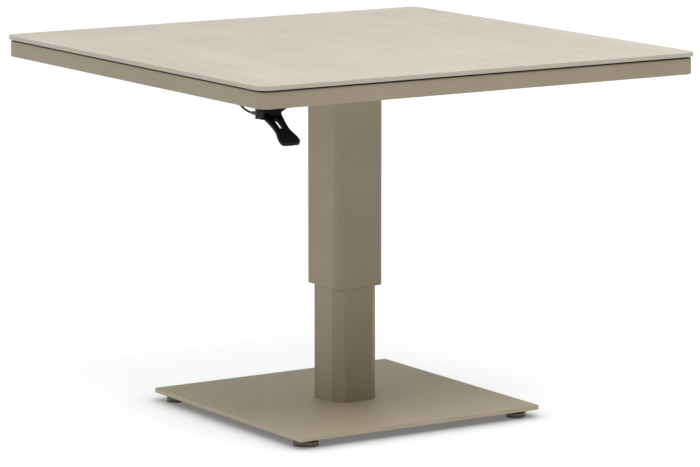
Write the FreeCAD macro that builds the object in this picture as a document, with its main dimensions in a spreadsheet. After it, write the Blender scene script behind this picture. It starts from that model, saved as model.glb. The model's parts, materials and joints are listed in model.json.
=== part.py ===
import FreeCAD, Part
import math
import os
import re
import Sketcher
from FreeCAD import Rotation, Vector

# Height-adjustable square pedestal table, modelled at full height.
# The origin is on the floor under the column, +Z is up, and the release lever points to -Y.

doc = FreeCAD.newDocument("telescoping_pedestal_table")
sizes = doc.addObject("Spreadsheet::Sheet", "Sizes")
angles = doc.addObject("Spreadsheet::Sheet", "Angles")
levels = doc.addObject("Spreadsheet::Sheet", "Levels")
sheet_of = {}
nodes = []

# Driving dimensions, in millimetres
SIZES = (
    ("Height", 669, "floor to table top, fully raised"),
    ("TopSide", 900, "side of the square slab"),
    ("TopThick", 8, "slab thickness"),
    ("TopCornerRadius", 22, "slab corner in plan"),
    ("TopEdgeRadius", 1, "eased slab edge"),
    ("SealHeight", 2.8, "shadow gap under the slab"),
    ("SealWidth", 6, "width of the seal in the gap"),
    ("SealSetback", 4, "seal behind the apron face"),
    ("Overhang", 3, "slab beyond the apron"),
    ("ApronHeight", 28.4, "apron tube height"),
    ("ApronWidth", 16, "apron tube width"),
    ("ApronWall", 1.6, "apron tube wall"),
    ("ApronCornerRadius", 20, "apron corner in plan"),
    ("SpigotLength", 30, "corner spigot inside a rail"),
    ("RailWidth", 30, "under-frame tube width"),
    ("RailHeight", 20, "under-frame tube height"),
    ("RailWall", 1.5, "under-frame tube wall"),
    ("CentreRailOffset", 65, "middle rails off the centre line"),
    ("EdgeRailInset", 79, "outer rails from the apron's inner faces"),
    ("BondPadLength", 40, "bond pad under the slab, along its rail"),
    ("BondPadWidth", 20, "bond pad under the slab, across its rail"),
    ("BondPadInset", 139, "bond pads from the apron's inner faces"),
    ("HeadPlateLength", 200, "head plate along the rails"),
    ("HeadPlateWidth", 170, "head plate across the rails"),
    ("HeadPlateThick", 6, "head plate thickness"),
    ("HeadPlateCornerRadius", 8, "head plate corner in plan"),
    ("HeadBoltOffset", 80, "head bolts off the centre line"),
    ("BoltDiameter", 8, "head bolts and base bolts"),
    ("BoltAcrossFlats", 13, "hexagon of a head bolt"),
    ("BoltHeadHeight", 5.3, "head of a head bolt, with its flange"),
    ("BoltFlangeDiameter", 17.5, "flange of a head bolt"),
    ("BoltFlangeThick", 1.6, "flange of a head bolt, thickness"),
    ("BoltTailGap", 2, "bolt end short of its nut's end"),
    ("RivetNutDiameter", 11, "threaded insert in a rail"),
    ("RivetNutLength", 14, "threaded insert, length"),
    ("RivetNutCollarDiameter", 14, "collar upset inside the rail"),
    ("RivetNutCollarHeight", 3, "collar height"),
    ("OuterSide", 103, "outer column across its faces"),
    ("OuterWall", 2, "outer column wall"),
    ("OuterCornerRadius", 13, "outer column corner"),
    ("OuterLength", 400.5, "outer column length"),
    ("InnerAcross", 92.8, "inner column across its faces"),
    ("InnerChamfer", 16.7, "leg of the inner column's corner chamfer"),
    ("InnerWall", 2, "inner column wall"),
    ("ColumnOverlap", 182.8, "inner column inside the outer one, fully raised"),
    ("GlideHeight", 40, "plastic corner glide"),
    ("GlideInset", 3, "glide back from its tube's end"),
    ("GlideTrim", 2, "glide short of the flat faces"),
    ("RunningClear", 0.3, "gap between sliding faces"),
    ("FitClear", 0.05, "gap all round a fixed fit or pin"),
    ("ThreadClear", 0.1, "gap round a screw in its hole"),
    ("BaseSide", 507, "base plate side"),
    ("BaseThick", 8, "base plate thickness"),
    ("BaseCornerRadius", 3, "base plate corner in plan"),
    ("BaseEdgeRadius", 0.6, "broken edge of the base plate"),
    ("BaseBoltOffset", 26, "base bolts off the centre lines"),
    ("BaseBoltLength", 16.5, "countersunk base bolt"),
    ("CountersinkDiameter", 16, "head of a base bolt"),
    ("CountersinkDepth", 4, "head of a base bolt, depth"),
    ("FootPlateThick", 10, "plate welded in the inner column's foot"),
    ("FootHeight", 14, "floor to the underside of the base plate"),
    ("FootInset", 30, "foot centre from the base plate's edges"),
    ("FootPadLength", 45, "oval foot across its corner of the base"),
    ("FootPadWidth", 33, "oval foot towards its corner of the base"),
    ("FootPadClear", 0.4, "top of a foot below the base plate"),
    ("FootPadFloor", 4, "bottom of the recess in a foot above the floor"),
    ("FootPadRecessDiameter", 22, "recess in a foot round the boss"),
    ("FootPadEdgeRadius", 1.6, "rounded rim of a foot"),
    ("StudDiameter", 8, "foot stud"),
    ("StudLength", 13.5, "foot stud above its recess"),
    ("StudHeadDiameter", 14, "stud head moulded in the foot"),
    ("StudHeadThick", 2, "stud head thickness"),
    ("StudHoleDepth", 6, "blind hole up into the base plate"),
    ("BossDiameter", 18, "boss welded under the base plate"),
    ("BossLength", 7, "boss below the base plate"),
    ("CylinderDiameter", 28, "gas spring cylinder, outside"),
    ("CylinderBore", 24, "gas spring cylinder, inside"),
    ("CylinderLength", 314, "gas spring cylinder, length"),
    ("CylinderFloor", 8, "closed end of the cylinder"),
    ("SpringStudDiameter", 10, "stud under the cylinder"),
    ("SpringStudGap", 1, "stud end above the base plate"),
    ("LockNutAcrossFlats", 16, "nut of the gas spring across flats"),
    ("LockNutHeight", 6, "nut of the gas spring, height"),
    ("GuideLength", 16, "rod guide in the cylinder mouth"),
    ("GuideLip", 2, "lip of the rod guide"),
    ("RodDiameter", 10, "gas spring rod"),
    ("PistonHeight", 14, "gas spring piston"),
    ("PistonGap", 4, "piston below the guide, raised"),
    ("ValvePinDiameter", 3, "release pin in the rod"),
    ("ValvePinProud", 3, "release pin above the rod"),
    ("ValvePinLength", 25, "release pin"),
    ("ValvePinRoom", 3.4, "room for the release pin to sink"),
    ("ReleaseBaseLength", 48, "release bracket along the cable"),
    ("ReleaseBaseWidth", 26, "release bracket across the cable"),
    ("ReleaseBaseThick", 4, "floor of the release bracket"),
    ("ReleaseStopReach", 28, "cable stop of the release bracket from the rod"),
    ("ReleaseStopThick", 4, "cable stop thickness"),
    ("ReleaseStopWidth", 18, "cable stop width"),
    ("ReleaseStopHeight", 17, "cable stop above the bracket floor"),
    ("ReleaseEarLength", 20, "ears of the release bracket along the cable"),
    ("ReleaseEarThick", 3, "ears of the release bracket, thickness"),
    ("ReleaseEarHeight", 12, "ears above the bracket floor"),
    ("ReleaseScrewDiameter", 4, "screws of the release bracket"),
    ("ReleaseScrewHead", 7, "screw head across"),
    ("ReleaseScrewHeadHeight", 2.5, "screw head height"),
    ("ReleaseScrewBack", 14, "screws behind the rod"),
    ("ReleaseScrewOffset", 8, "screws off the centre line"),
    ("RodProud", 1.2, "rod above the release bracket"),
    ("ArmWidth", 8, "release arm between the ears"),
    ("ArmPivotReach", 6, "release arm pivot from the rod axis"),
    ("ArmPivotHeight", 6.2, "release arm pivot above the bracket floor"),
    ("ArmHubRadius", 3.8, "release arm round its pivot"),
    ("ArmNoseThick", 4.4, "nose over the release pin"),
    ("ArmNoseGap", 0.1, "nose above the release pin"),
    ("ArmForkThick", 6.4, "upright fork of the release arm"),
    ("ArmForkHeight", 9.8, "upright fork above the pivot"),
    ("ArmWireRadius", 7, "wire end from the release arm pivot"),
    ("ArmPinDiameter", 4, "release arm pin"),
    ("ArmPinTail", 1, "pin beyond the ears"),
    ("HeadNippleDiameter", 3.6, "wire end at the release arm"),
    ("LeverInset", 77.5, "lever centre from the apron's left face"),
    ("LeverBehindRail", 5, "lever pivot behind the front rail's centre"),
    ("PivotDrop", 22.8, "lever pivot below the rail"),
    ("LeverWidth", 36, "lever at its hub"),
    ("LeverReach", 68.5, "paddle end in front of the pivot"),
    ("LeverDrop", 55, "paddle end below the pivot"),
    ("LeverTipThick", 7.5, "paddle end thickness"),
    ("LeverHubRadius", 8, "lever round its pivot"),
    ("LeverWebHalf", 7, "half depth of the web under the hub"),
    ("LeverHeelDrop", 13.5, "lever heel below the pivot"),
    ("LeverCornerRadius", 8, "paddle corners in plan"),
    ("LeverNeckRadius", 26, "paddle waist in plan"),
    ("WindowWidth", 9, "slot through the paddle"),
    ("WindowLength", 22, "slot through the paddle, in plan"),
    ("WindowStart", 15, "slot in front of the pivot"),
    ("CheekThick", 3, "lever bracket sheet thickness"),
    ("CheekClear", 0.4, "lever beside a bracket cheek"),
    ("CheekBack", 13, "bracket behind the pivot"),
    ("CheekFront", 22.5, "bracket in front of the pivot"),
    ("LeftCheekDrop", 16, "left cheek below the pivot"),
    ("LeftCheekRadius", 4, "rounded rear corner of the left cheek"),
    ("LeftCheekFront", 12, "deep part of the left cheek"),
    ("RightCheekDrop", 7.5, "right cheek below the pivot"),
    ("RightCheekRise", 3.5, "front of a cheek above the pivot"),
    ("LugThick", 3, "cable stop lug thickness"),
    ("LugWidth", 14, "cable stop lug width"),
    ("LugRise", 14, "cable stop lug height"),
    ("BracketScrewDiameter", 5, "lever bracket screws"),
    ("BracketScrewHead", 9, "bracket screw head across"),
    ("BracketScrewHeadHeight", 3.4, "bracket screw head height"),
    ("BracketScrewTail", 8, "screw end inside the rail"),
    ("BracketScrewOffset", 12, "screws off the lever centre"),
    ("PivotPinDiameter", 6, "lever pivot pin"),
    ("PivotPinHead", 9, "pivot pin head across"),
    ("PivotPinHeadThick", 1.5, "pivot pin head thickness"),
    ("PivotPinTail", 3, "pin beyond the cheek"),
    ("ClipDiameter", 10, "retaining ring of the pin, across"),
    ("ClipThick", 1, "retaining ring of the pin, thickness"),
    ("ClipGap", 0.2, "retaining ring off the cheek"),
    ("LeverWireRadius", 10, "wire end from the lever pivot"),
    ("LeverWireOffset", 12, "wire left of the lever centre"),
    ("LeverNippleDiameter", 5, "wire end at the lever, across"),
    ("LeverNippleLength", 8, "wire end at the lever, length"),
    ("NippleClear", 0.5, "gap round a wire end"),
    ("WireDiameter", 1.6, "inner wire"),
    ("WireBore", 2.4, "bore of the cable and its fittings"),
    ("WireSlotRise", 5, "slot that lets the wire tilt"),
    ("CableDiameter", 4, "cable sheath"),
    ("AdjusterDiameter", 6, "barrel adjuster thread"),
    ("AdjusterFront", 1, "adjuster in front of its lug"),
    ("AdjusterBack", 23, "adjuster behind its lug"),
    ("AdjusterHeadDiameter", 7, "barrel adjuster grip across"),
    ("AdjusterHeadLength", 9, "barrel adjuster grip length"),
    ("AdjusterNutAcrossFlats", 10, "adjuster nut across flats"),
    ("AdjusterNutHeight", 4, "adjuster nut height"),
    ("AdjusterSeat", 4, "cable end behind the lug"),
    ("LeverWireLength", 30, "wire end seen at the lever"),
    ("HeadWireLength", 60, "wire end seen at the release arm"),
    ("FerruleDiameter", 7, "ferrule at the release bracket, across"),
    ("FerruleLength", 10, "ferrule at the release bracket, length"),
    ("FerruleFloor", 2, "end wall of the ferrule"),
    ("CableLeadOut", 38, "straight cable behind the adjuster's seat"),
    ("CableLeadIn", 52, "straight cable before the ferrule"),
    ("CableClipDrop", 4.8, "cable below the middle rail"),
    ("CableClipInset", 195, "cable clip from the apron's inner face"),
    ("CableClipRun", 154, "straight cable through the clip"),
    ("CableClipLength", 12, "cable clip along the cable"),
    ("CableClipWidth", 14, "cable clip across the cable"),
    ("CableClipWall", 2.4, "cable clip under the cable"),
    ("Overrun", 5, "how far a cutting shape runs past a face"),
)

# Driving angles
ANGLES = (
    ("LeverSwing", "20 deg", "turn of the lever"),
    ("CableClipTurn", "40 deg", "turn of the cable towards the column in its clip"),
    ("FootTurn", "45 deg", "turn of an oval foot to its corner of the base"),
)

# Sizes, heights and places worked out from the driving dimensions
LEVELS = (
    ("TopUnder", "Height - TopThick", "underside of the slab"),
    ("ApronTop", "TopUnder - SealHeight", "top of the apron and rails"),
    ("ApronBottom", "ApronTop - ApronHeight", "bottom of the apron"),
    ("ApronHalf", "TopSide / 2 - Overhang", "apron face from the centre"),
    ("ApronInner", "ApronHalf - ApronWidth", "apron inner face from the centre"),
    ("CornerCentre", "ApronHalf - ApronCornerRadius", "centre of a corner's arc"),
    ("EdgeRailOffset", "ApronInner - EdgeRailInset", "outer rails from the centre line"),
    ("BondPadOffset", "ApronInner - BondPadInset", "bond pads from the centre line"),
    ("SealHalf", "ApronHalf - SealSetback", "seal face from the centre"),
    ("RailBottom", "ApronTop - RailHeight", "rails and head plate meet"),
    ("HeadPlateBottom", "RailBottom - HeadPlateThick", "underside of the head plate"),
    ("OuterBottom", "HeadPlateBottom - OuterLength", "lower end of the outer column"),
    ("OuterClear", "OuterSide - 2 * OuterWall", "inside of the outer column"),
    ("OuterInnerRadius", "OuterCornerRadius - OuterWall", "inside corner of the outer column"),
    ("OctagonShift", "2 - sqrt(2)", "chamfer leg change for each unit of offset"),
    ("FlatHalf", "InnerAcross / 2 - InnerChamfer", "half of a flat of the inner column"),
    ("BaseTop", "FootHeight + BaseThick", "top of the base plate"),
    ("InnerTop", "OuterBottom + ColumnOverlap", "upper end of the inner column"),
    ("InnerLength", "InnerTop - BaseTop", "inner column length"),
    ("FootOffset", "BaseSide / 2 - FootInset", "foot centre from the centre lines"),
    ("FootPadHeight", "FootHeight - FootPadClear", "height of a foot"),
    ("FootPlateTop", "BaseTop + FootPlateThick", "top of the plate in the column foot"),
    ("SpringBottom", "FootPlateTop + LockNutHeight", "lower end of the cylinder"),
    ("SpringTop", "SpringBottom + CylinderLength", "upper end of the cylinder"),
    ("PistonTop", "SpringTop - GuideLength - PistonGap", "piston, raised"),
    ("ReleaseFloor", "RailBottom + ReleaseBaseThick", "top of the release bracket's base"),
    ("RodTop", "ReleaseFloor + RodProud", "upper end of the rod"),
    ("ValvePinTop", "RodTop + ValvePinProud", "upper end of the release pin"),
    ("ArmPivotLevel", "ReleaseFloor + ArmPivotHeight", "release arm pivot"),
    ("ArmSwing", "LeverSwing * LeverWireRadius / ArmWireRadius", "turn of the release arm"),
    ("HeadWireX", "ArmPivotReach + ArmWireRadius * sin(ArmSwing / 2)", "wire end at the arm"),
    ("HeadWireLevel", "ArmPivotLevel + ArmWireRadius * cos(ArmSwing / 2)", "wire end at the arm"),
    ("LeverX", "LeverInset - ApronHalf", "lever centre"),
    ("LeverY", "LeverBehindRail - EdgeRailOffset", "lever pivot"),
    ("PivotLevel", "RailBottom - PivotDrop", "lever pivot"),
    ("LeverWireX", "LeverX - LeverWireOffset", "wire at the lever"),
    ("LeverWireY", "LeverY + LeverWireRadius * sin(LeverSwing / 2)", "wire end at the lever"),
    ("LeverWireLevel", "PivotLevel - LeverWireRadius * cos(LeverSwing / 2)", "wire at the lever"),
    ("CheekInner", "LeverWidth / 2 + CheekClear", "bracket cheek from the lever centre"),
    ("CheekOuter", "CheekInner + CheekThick", "bracket cheek from the lever centre"),
    ("LugBack", "LeverY + CheekBack", "rear face of the cable stop lug"),
    ("CableStart", "LugBack + AdjusterSeat", "cable end in the adjuster"),
    ("FerruleFace", "-ReleaseStopReach - FerruleLength", "open end of the ferrule"),
    ("CableClipX", "CableClipInset - ApronInner", "cable clip"),
    ("CableClipY", "-CentreRailOffset", "cable clip"),
    ("CableClipLevel", "RailBottom - CableClipDrop", "cable in its clip"),
)

SIDES = (("front", 0), ("right", 90), ("back", 180), ("left", 270))
CORNERS = (("front_left", 0, -1, -1), ("front_right", 90, 1, -1),
           ("back_right", 180, 1, 1), ("back_left", 270, -1, 1))
SIGNS = (-1, 1)
TOLERANCE = 1e-6
TURNS = {"x": Rotation(Vector(0, 1, 0), 90), "y": Rotation(Vector(1, 0, 0), -90), "z": Rotation()}

# Round ends of a foot, as a share of its width
FOOT_END_SHARE = 0.46

# Middle points of the cable's route, as shares of the way between the straight runs beside them
CABLE_RISE_SHARES = (0.08, 0.42, 0.88)
CABLE_ENTRY_SHARES = (0.58, 0.88, 0.66)
CABLE_ARC_SHARE = 0.45

# Paddle outline: across in shares of the lever's width, forward of its reach, down of its drop
PADDLE_WAIST_SHARES = (0.37, 0.55)
PADDLE_FLARE_SHARES = (0.483, 0.85)
PADDLE_END_SHARE = 0.472
PADDLE_BEND_SHARE = 0.55
PADDLE_UNDER_SHARES = (0.28, 0.642)
PADDLE_OVER_SHARES = (0.155, 0.498)


def formula(text):
    """Put the sheet's name before every alias in a text."""
    return re.sub(r"[A-Z][A-Za-z]+", lambda word: f"{sheet_of[word[0]]}.{word[0]}", text)


def number(text):
    """The present value of a formula."""
    return float(sizes.evalExpression(formula(text)))


def fill(sheet, rows, prefix):
    """Write a meaning and an aliased value on each row of a sheet."""
    for row, (alias, value, meaning) in enumerate(rows, start=1):
        text = prefix + formula(value) if prefix else str(value)
        sheet.set(f"A{row}", meaning)
        sheet.set(f"B{row}", text)
        sheet.setAlias(f"B{row}", alias)
        sheet_of[alias] = sheet.Name
    doc.recompute()


def bind(piece, **texts):
    """Bind properties of a piece to formulas."""
    for name, text in texts.items():
        piece.setExpression(name, formula(text))


def stand(piece, x="0", y="0", z="0"):
    """Bind the place of a piece to formulas."""
    for axis, text in zip("xyz", (x, y, z)):
        piece.setExpression(f"Placement.Base.{axis}", formula(text))


def node(name, piece):
    """Name a finished piece and keep it for writing."""
    piece.Label = name
    nodes.append(piece)
    return piece


def box(x, y, z, length, width, height):
    """A box from its lowest corner."""
    piece = doc.addObject("Part::Box", "Box")
    bind(piece, Length=length, Width=width, Height=height)
    stand(piece, x, y, z)
    return piece


def middle_box(x, y, z, length, width, height):
    """A box centred in plan on x and y, from the level z up."""
    return box(f"{x} - ({length}) / 2", f"{y} - ({width}) / 2", z, length, width, height)


def cylinder(x, y, z, diameter, length, along="z"):
    """A cylinder from the centre of its first end."""
    piece = doc.addObject("Part::Cylinder", "Cylinder")
    bind(piece, Radius=f"({diameter}) / 2", Height=length)
    piece.Placement = FreeCAD.Placement(Vector(), TURNS[along])
    stand(piece, x, y, z)
    return piece


def hexagon(x, y, z, across, length, along="z"):
    """A hexagonal prism from the centre of its first end."""
    piece = doc.addObject("Part::Prism", "Hexagon")
    piece.Polygon = 6
    bind(piece, Circumradius=f"({across}) / sqrt(3)", Height=length)
    piece.Placement = FreeCAD.Placement(Vector(), TURNS[along])
    stand(piece, x, y, z)
    return piece


def cone(x, y, z, low, high, length):
    """An upright cone between two diameters."""
    piece = doc.addObject("Part::Cone", "Cone")
    bind(piece, Radius1=f"({low}) / 2", Radius2=f"({high}) / 2", Height=length)
    stand(piece, x, y, z)
    return piece


def fuse(*pieces):
    """Several pieces made one."""
    if len(pieces) == 1:
        return pieces[0]
    joined = doc.addObject("Part::MultiFuse", "Joined")
    joined.Shapes = list(pieces)
    joined.Refine = True
    return joined


def cut(base, *tools):
    """A piece with others taken out of it."""
    result = doc.addObject("Part::Cut", "Cut")
    result.Base = base
    result.Tool = fuse(*tools)
    return result


def common(first, second):
    """What two pieces share."""
    result = doc.addObject("Part::Common", "Common")
    result.Base = first
    result.Tool = second
    return result


def group(pieces):
    """Separate pieces kept as one node."""
    result = doc.addObject("Part::Compound", "Group")
    result.Links = list(pieces)
    return result


def turned(piece, degrees):
    """A finished piece swung about the table's centre line."""
    piece.Placement = FreeCAD.Placement(Vector(), Rotation(Vector(0, 0, 1), degrees))
    return piece


def sketch(owner, plane, outlines):
    """A sketch of closed outlines whose corners are pairs of formulas."""
    drawing = owner.newObject("Sketcher::SketchObject", "Outline")
    origin = next(part for part in owner.Origin.OriginFeatures if part.Role == plane)
    drawing.AttachmentSupport = [(origin, "")]
    drawing.MapMode = "FlatFace"
    for corners in outlines:
        first = drawing.GeometryCount
        count = len(corners)
        points = [Vector(number(across), number(up), 0) for across, up in corners]
        for index in range(count):
            drawing.addGeometry(Part.LineSegment(points[index], points[(index + 1) % count]))
        for index in range(count):
            after = first + (index + 1) % count
            drawing.addConstraint(Sketcher.Constraint("Coincident", first + index, 2, after, 1))
        for index, texts in enumerate(corners):
            for kind, text, value in zip(("DistanceX", "DistanceY"), texts, points[index]):
                rule = Sketcher.Constraint(kind, -1, 1, first + index, 1, value)
                place = drawing.addConstraint(rule)
                drawing.setExpression(f"Constraints[{place}]", formula(text))
    return drawing


def prism(plane, outlines, length):
    """A body padded from one sketch, with the pad as its tip."""
    owner = doc.addObject("PartDesign::Body", "Body")
    profile = sketch(owner, plane, outlines)
    pad = owner.newObject("PartDesign::Pad", "Pad")
    pad.Profile = profile
    bind(pad, Length=length)
    profile.Visibility = False
    doc.recompute()
    return owner


def round_edges(owner, chosen, radius):
    """Round the edges of a body's tip that a test picks."""
    base = owner.Tip
    names = [f"Edge{index}" for index, edge in enumerate(base.Shape.Edges, start=1) if chosen(edge)]
    fillet = owner.newObject("PartDesign::Fillet", "Round")
    fillet.Base = (base, names)
    bind(fillet, Radius=radius)
    doc.recompute()
    return owner


def upright(edge):
    """Whether an edge runs along Z."""
    return abs(edge.tangentAt(edge.FirstParameter).z) > math.cos(math.radians(1))


def upright_at(corners):
    """A test for the upright edges of a pad at some corners of its sketch."""
    places = [Vector(number(across), number(up), 0) for across, up in corners]

    def chosen(edge):
        start = edge.Vertexes[0].Point
        foot = Vector(start.x, start.y, 0)
        return upright(edge) and any(foot.isEqual(place, TOLERANCE) for place in places)

    return chosen


def sideways_at(corners):
    """A test for the edges along X of a pad at some corners of its sketch."""
    places = [Vector(0, number(across), number(up)) for across, up in corners]

    def chosen(edge):
        start = edge.Vertexes[0].Point
        foot = Vector(0, start.y, start.z)
        along = abs(edge.tangentAt(edge.FirstParameter).x) > math.cos(math.radians(1))
        return along and any(foot.isEqual(place, TOLERANCE) for place in places)

    return chosen


def rectangle(length, width):
    """Corners of a rectangle about the origin."""
    half = (f"({length}) / 2", f"({width}) / 2")
    signs = (("-", "-"), ("", "-"), ("", ""), ("-", ""))
    return [(f"{across}{half[0]}", f"{up}{half[1]}") for across, up in signs]


def octagon(across, chamfer):
    """Corners of a square with its corners cut off."""
    far = f"({across}) / 2"
    near = f"(({across}) / 2 - ({chamfer}))"
    pairs = ((far, near, "", "-"), (far, near, "", ""), (near, far, "", ""), (near, far, "-", ""),
             (far, near, "-", ""), (far, near, "-", "-"), (near, far, "-", "-"), (near, far, "", "-"))
    return [(f"{left}{first}", f"{right}{second}") for first, second, left, right in pairs]


def rounded_plate(length, width, thick, radius):
    """A flat plate with round corners."""
    plate = prism("XY_Plane", [rectangle(length, width)], thick)
    return round_edges(plate, upright, radius)


# Slab and the seal in its shadow gap
def make_top():
    slab = rounded_plate("TopSide", "TopSide", "TopThick", "TopCornerRadius")
    round_edges(slab, lambda edge: not upright(edge), "TopEdgeRadius")
    stand(slab, z="TopUnder")
    node("table_top", slab)
    for name, sign in zip(("front", "back"), SIGNS):
        middle = f"{sign} * (SealHalf - SealWidth / 2)"
        strip = middle_box("0", middle, "ApronTop", "2 * SealHalf", "SealWidth", "SealHeight")
        node(f"seal_{name}", common(strip, seal_form()))
    for name, sign in zip(("left", "right"), SIGNS):
        middle = f"{sign} * (SealHalf - SealWidth / 2)"
        strip = middle_box(middle, "0", "ApronTop", "SealWidth", "2 * (SealHalf - SealWidth)", "SealHeight")
        node(f"seal_{name}", common(strip, seal_form()))
    pads = [middle_box(f"{along} * BondPadOffset", f"{across} * {rail}", "ApronTop",
                       "BondPadLength", "BondPadWidth", "SealHeight")
            for along in SIGNS for across in SIGNS for rail in ("CentreRailOffset", "EdgeRailOffset")]
    node("bond_pads", group(pads))


def seal_form():
    """What the four strips of the seal fill, round at its corners like the apron."""
    form = rounded_plate("2 * SealHalf", "2 * SealHalf", "SealHeight", "ApronCornerRadius - SealSetback")
    stand(form, z="ApronTop")
    return form


# Apron of four tubes and four round corners with spigots
def make_apron():
    for name, degrees in SIDES:
        shell = box("-CornerCentre", "-ApronHalf", "ApronBottom",
                    "2 * CornerCentre", "ApronWidth", "ApronHeight")
        hollow = box("-CornerCentre - Overrun", "ApronWall - ApronHalf", "ApronBottom + ApronWall",
                     "2 * (CornerCentre + Overrun)", "ApronWidth - 2 * ApronWall",
                     "ApronHeight - 2 * ApronWall")
        node(f"apron_rail_{name}", turned(cut(shell, hollow), degrees))
    for name, degrees, _, _ in CORNERS:
        round_part = cylinder("-CornerCentre", "-CornerCentre", "ApronBottom",
                              "2 * ApronCornerRadius", "ApronHeight")
        quarter = box("-ApronHalf", "-ApronHalf", "ApronBottom",
                      "ApronCornerRadius", "ApronCornerRadius", "ApronHeight")
        inside = cylinder("-CornerCentre", "-CornerCentre", "ApronBottom - Overrun",
                          "2 * (ApronCornerRadius - ApronWidth)", "ApronHeight + 2 * Overrun")
        across = "ApronWidth - 2 * (ApronWall + FitClear)"
        height = "ApronHeight - 2 * (ApronWall + FitClear)"
        inset = "ApronWall + FitClear - ApronHalf"
        low = "ApronBottom + ApronWall + FitClear"
        spigots = (box("-CornerCentre", inset, low, "SpigotLength", across, height),
                   box(inset, "-CornerCentre", low, across, "SpigotLength", height))
        corner = fuse(cut(common(round_part, quarter), inside), *spigots)
        node(f"apron_corner_{name}", turned(corner, degrees))


# Four tubes under the slab, between the left and right apron tubes
def frame_rail(name, middle, holes):
    shell = middle_box("0", middle, "RailBottom", "2 * ApronInner", "RailWidth", "RailHeight")
    hollow = middle_box("0", middle, "RailBottom + RailWall", "2 * (ApronInner + Overrun)",
                        "RailWidth - 2 * RailWall", "RailHeight - 2 * RailWall")
    drilled = [cylinder(x, middle, "RailBottom - Overrun", f"{diameter} + 2 * ThreadClear",
                        "Overrun + RailWall + Overrun") for x, diameter in holes]
    node(name, cut(shell, hollow, *drilled))


def make_frame_rails():
    inserts = [(f"{sign} * HeadBoltOffset", "RivetNutDiameter") for sign in SIGNS]
    screws = [(f"LeverX + {sign} * BracketScrewOffset", "BracketScrewDiameter") for sign in SIGNS]
    frame_rail("centre_rail_front", "-CentreRailOffset", inserts)
    frame_rail("centre_rail_back", "CentreRailOffset", inserts)
    frame_rail("edge_rail_front", "-EdgeRailOffset", screws)
    frame_rail("edge_rail_back", "EdgeRailOffset", ())


# Head plate on the outer column, bolted up into inserts in the middle rails
def make_head():
    spots = [(f"{along} * HeadBoltOffset", f"{across} * CentreRailOffset")
             for along in SIGNS for across in SIGNS]
    plate = rounded_plate("HeadPlateLength", "HeadPlateWidth", "HeadPlateThick", "HeadPlateCornerRadius")
    stand(plate, z="HeadPlateBottom")
    low = "HeadPlateBottom - Overrun"
    through = "HeadPlateThick + 2 * Overrun"
    holes = [cylinder(x, y, low, "BoltDiameter + 2 * ThreadClear", through) for x, y in spots]
    holes.append(cylinder("0", "0", low, "RodDiameter + 2 * ThreadClear", through))
    for sign in SIGNS:
        holes.append(cylinder("-ReleaseScrewBack", f"{sign} * ReleaseScrewOffset", low,
                              "ReleaseScrewDiameter + 2 * ThreadClear", through))
    node("head_plate", cut(plate, *holes))
    bolts = []
    inserts = []
    for x, y in spots:
        flange = cylinder(x, y, "HeadPlateBottom - BoltFlangeThick", "BoltFlangeDiameter", "BoltFlangeThick")
        head = hexagon(x, y, "HeadPlateBottom - BoltHeadHeight", "BoltAcrossFlats", "BoltHeadHeight")
        shank = cylinder(x, y, "HeadPlateBottom - BoltFlangeThick", "BoltDiameter",
                         "BoltFlangeThick + HeadPlateThick + RivetNutLength - BoltTailGap")
        bolts.append(fuse(flange, head, shank))
        sleeve = cylinder(x, y, "RailBottom", "RivetNutDiameter", "RivetNutLength")
        collar = cylinder(x, y, "RailBottom + RailWall", "RivetNutCollarDiameter", "RivetNutCollarHeight")
        bore = cylinder(x, y, "RailBottom - Overrun", "BoltDiameter + 2 * ThreadClear",
                        "RivetNutLength + 2 * Overrun")
        inserts.append(cut(fuse(sleeve, collar), bore))
    node("head_bolts", group(bolts))
    node("rail_inserts", group(inserts))


# Square outer column over an eight-sided inner column, with plastic glides in the corners
def make_columns():
    outside = rectangle("OuterSide", "OuterSide")
    inside = rectangle("OuterClear", "OuterClear")
    outer = prism("XY_Plane", [outside, inside], "OuterLength")
    round_edges(outer, upright_at(outside), "OuterCornerRadius")
    round_edges(outer, upright_at(inside), "OuterInnerRadius")
    stand(outer, z="OuterBottom")
    node("outer_column", outer)
    wall_octagon = octagon("InnerAcross - 2 * InnerWall", "InnerChamfer - OctagonShift * InnerWall")
    inner = prism("XY_Plane", [octagon("InnerAcross", "InnerChamfer"), wall_octagon], "InnerLength")
    stand(inner, z="BaseTop")
    node("inner_column", inner)
    make_glides("lower_glides", "OuterBottom + GlideInset", "0", "RunningClear")
    make_glides("upper_glides", "InnerTop - GlideInset - GlideHeight", "RunningClear", "0")


def make_glides(name, low, outer_clear, inner_clear):
    fill_side = f"OuterClear - 2 * {outer_clear}"
    block = rounded_plate(fill_side, fill_side, "GlideHeight", f"OuterInnerRadius - {outer_clear}")
    stand(block, z=low)
    core = prism("XY_Plane", [octagon(f"InnerAcross + 2 * {inner_clear}",
                                      f"InnerChamfer + OctagonShift * {inner_clear}")],
                 "GlideHeight + 2 * Overrun")
    stand(core, z=f"{low} - Overrun")
    flats = "2 * (FlatHalf + GlideTrim)"
    height = "GlideHeight + 2 * Overrun"
    bars = (middle_box("0", "0", f"{low} - Overrun", flats, "OuterSide", height),
            middle_box("0", "0", f"{low} - Overrun", "OuterSide", flats, height))
    node(name, cut(block, core, *bars))


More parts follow.
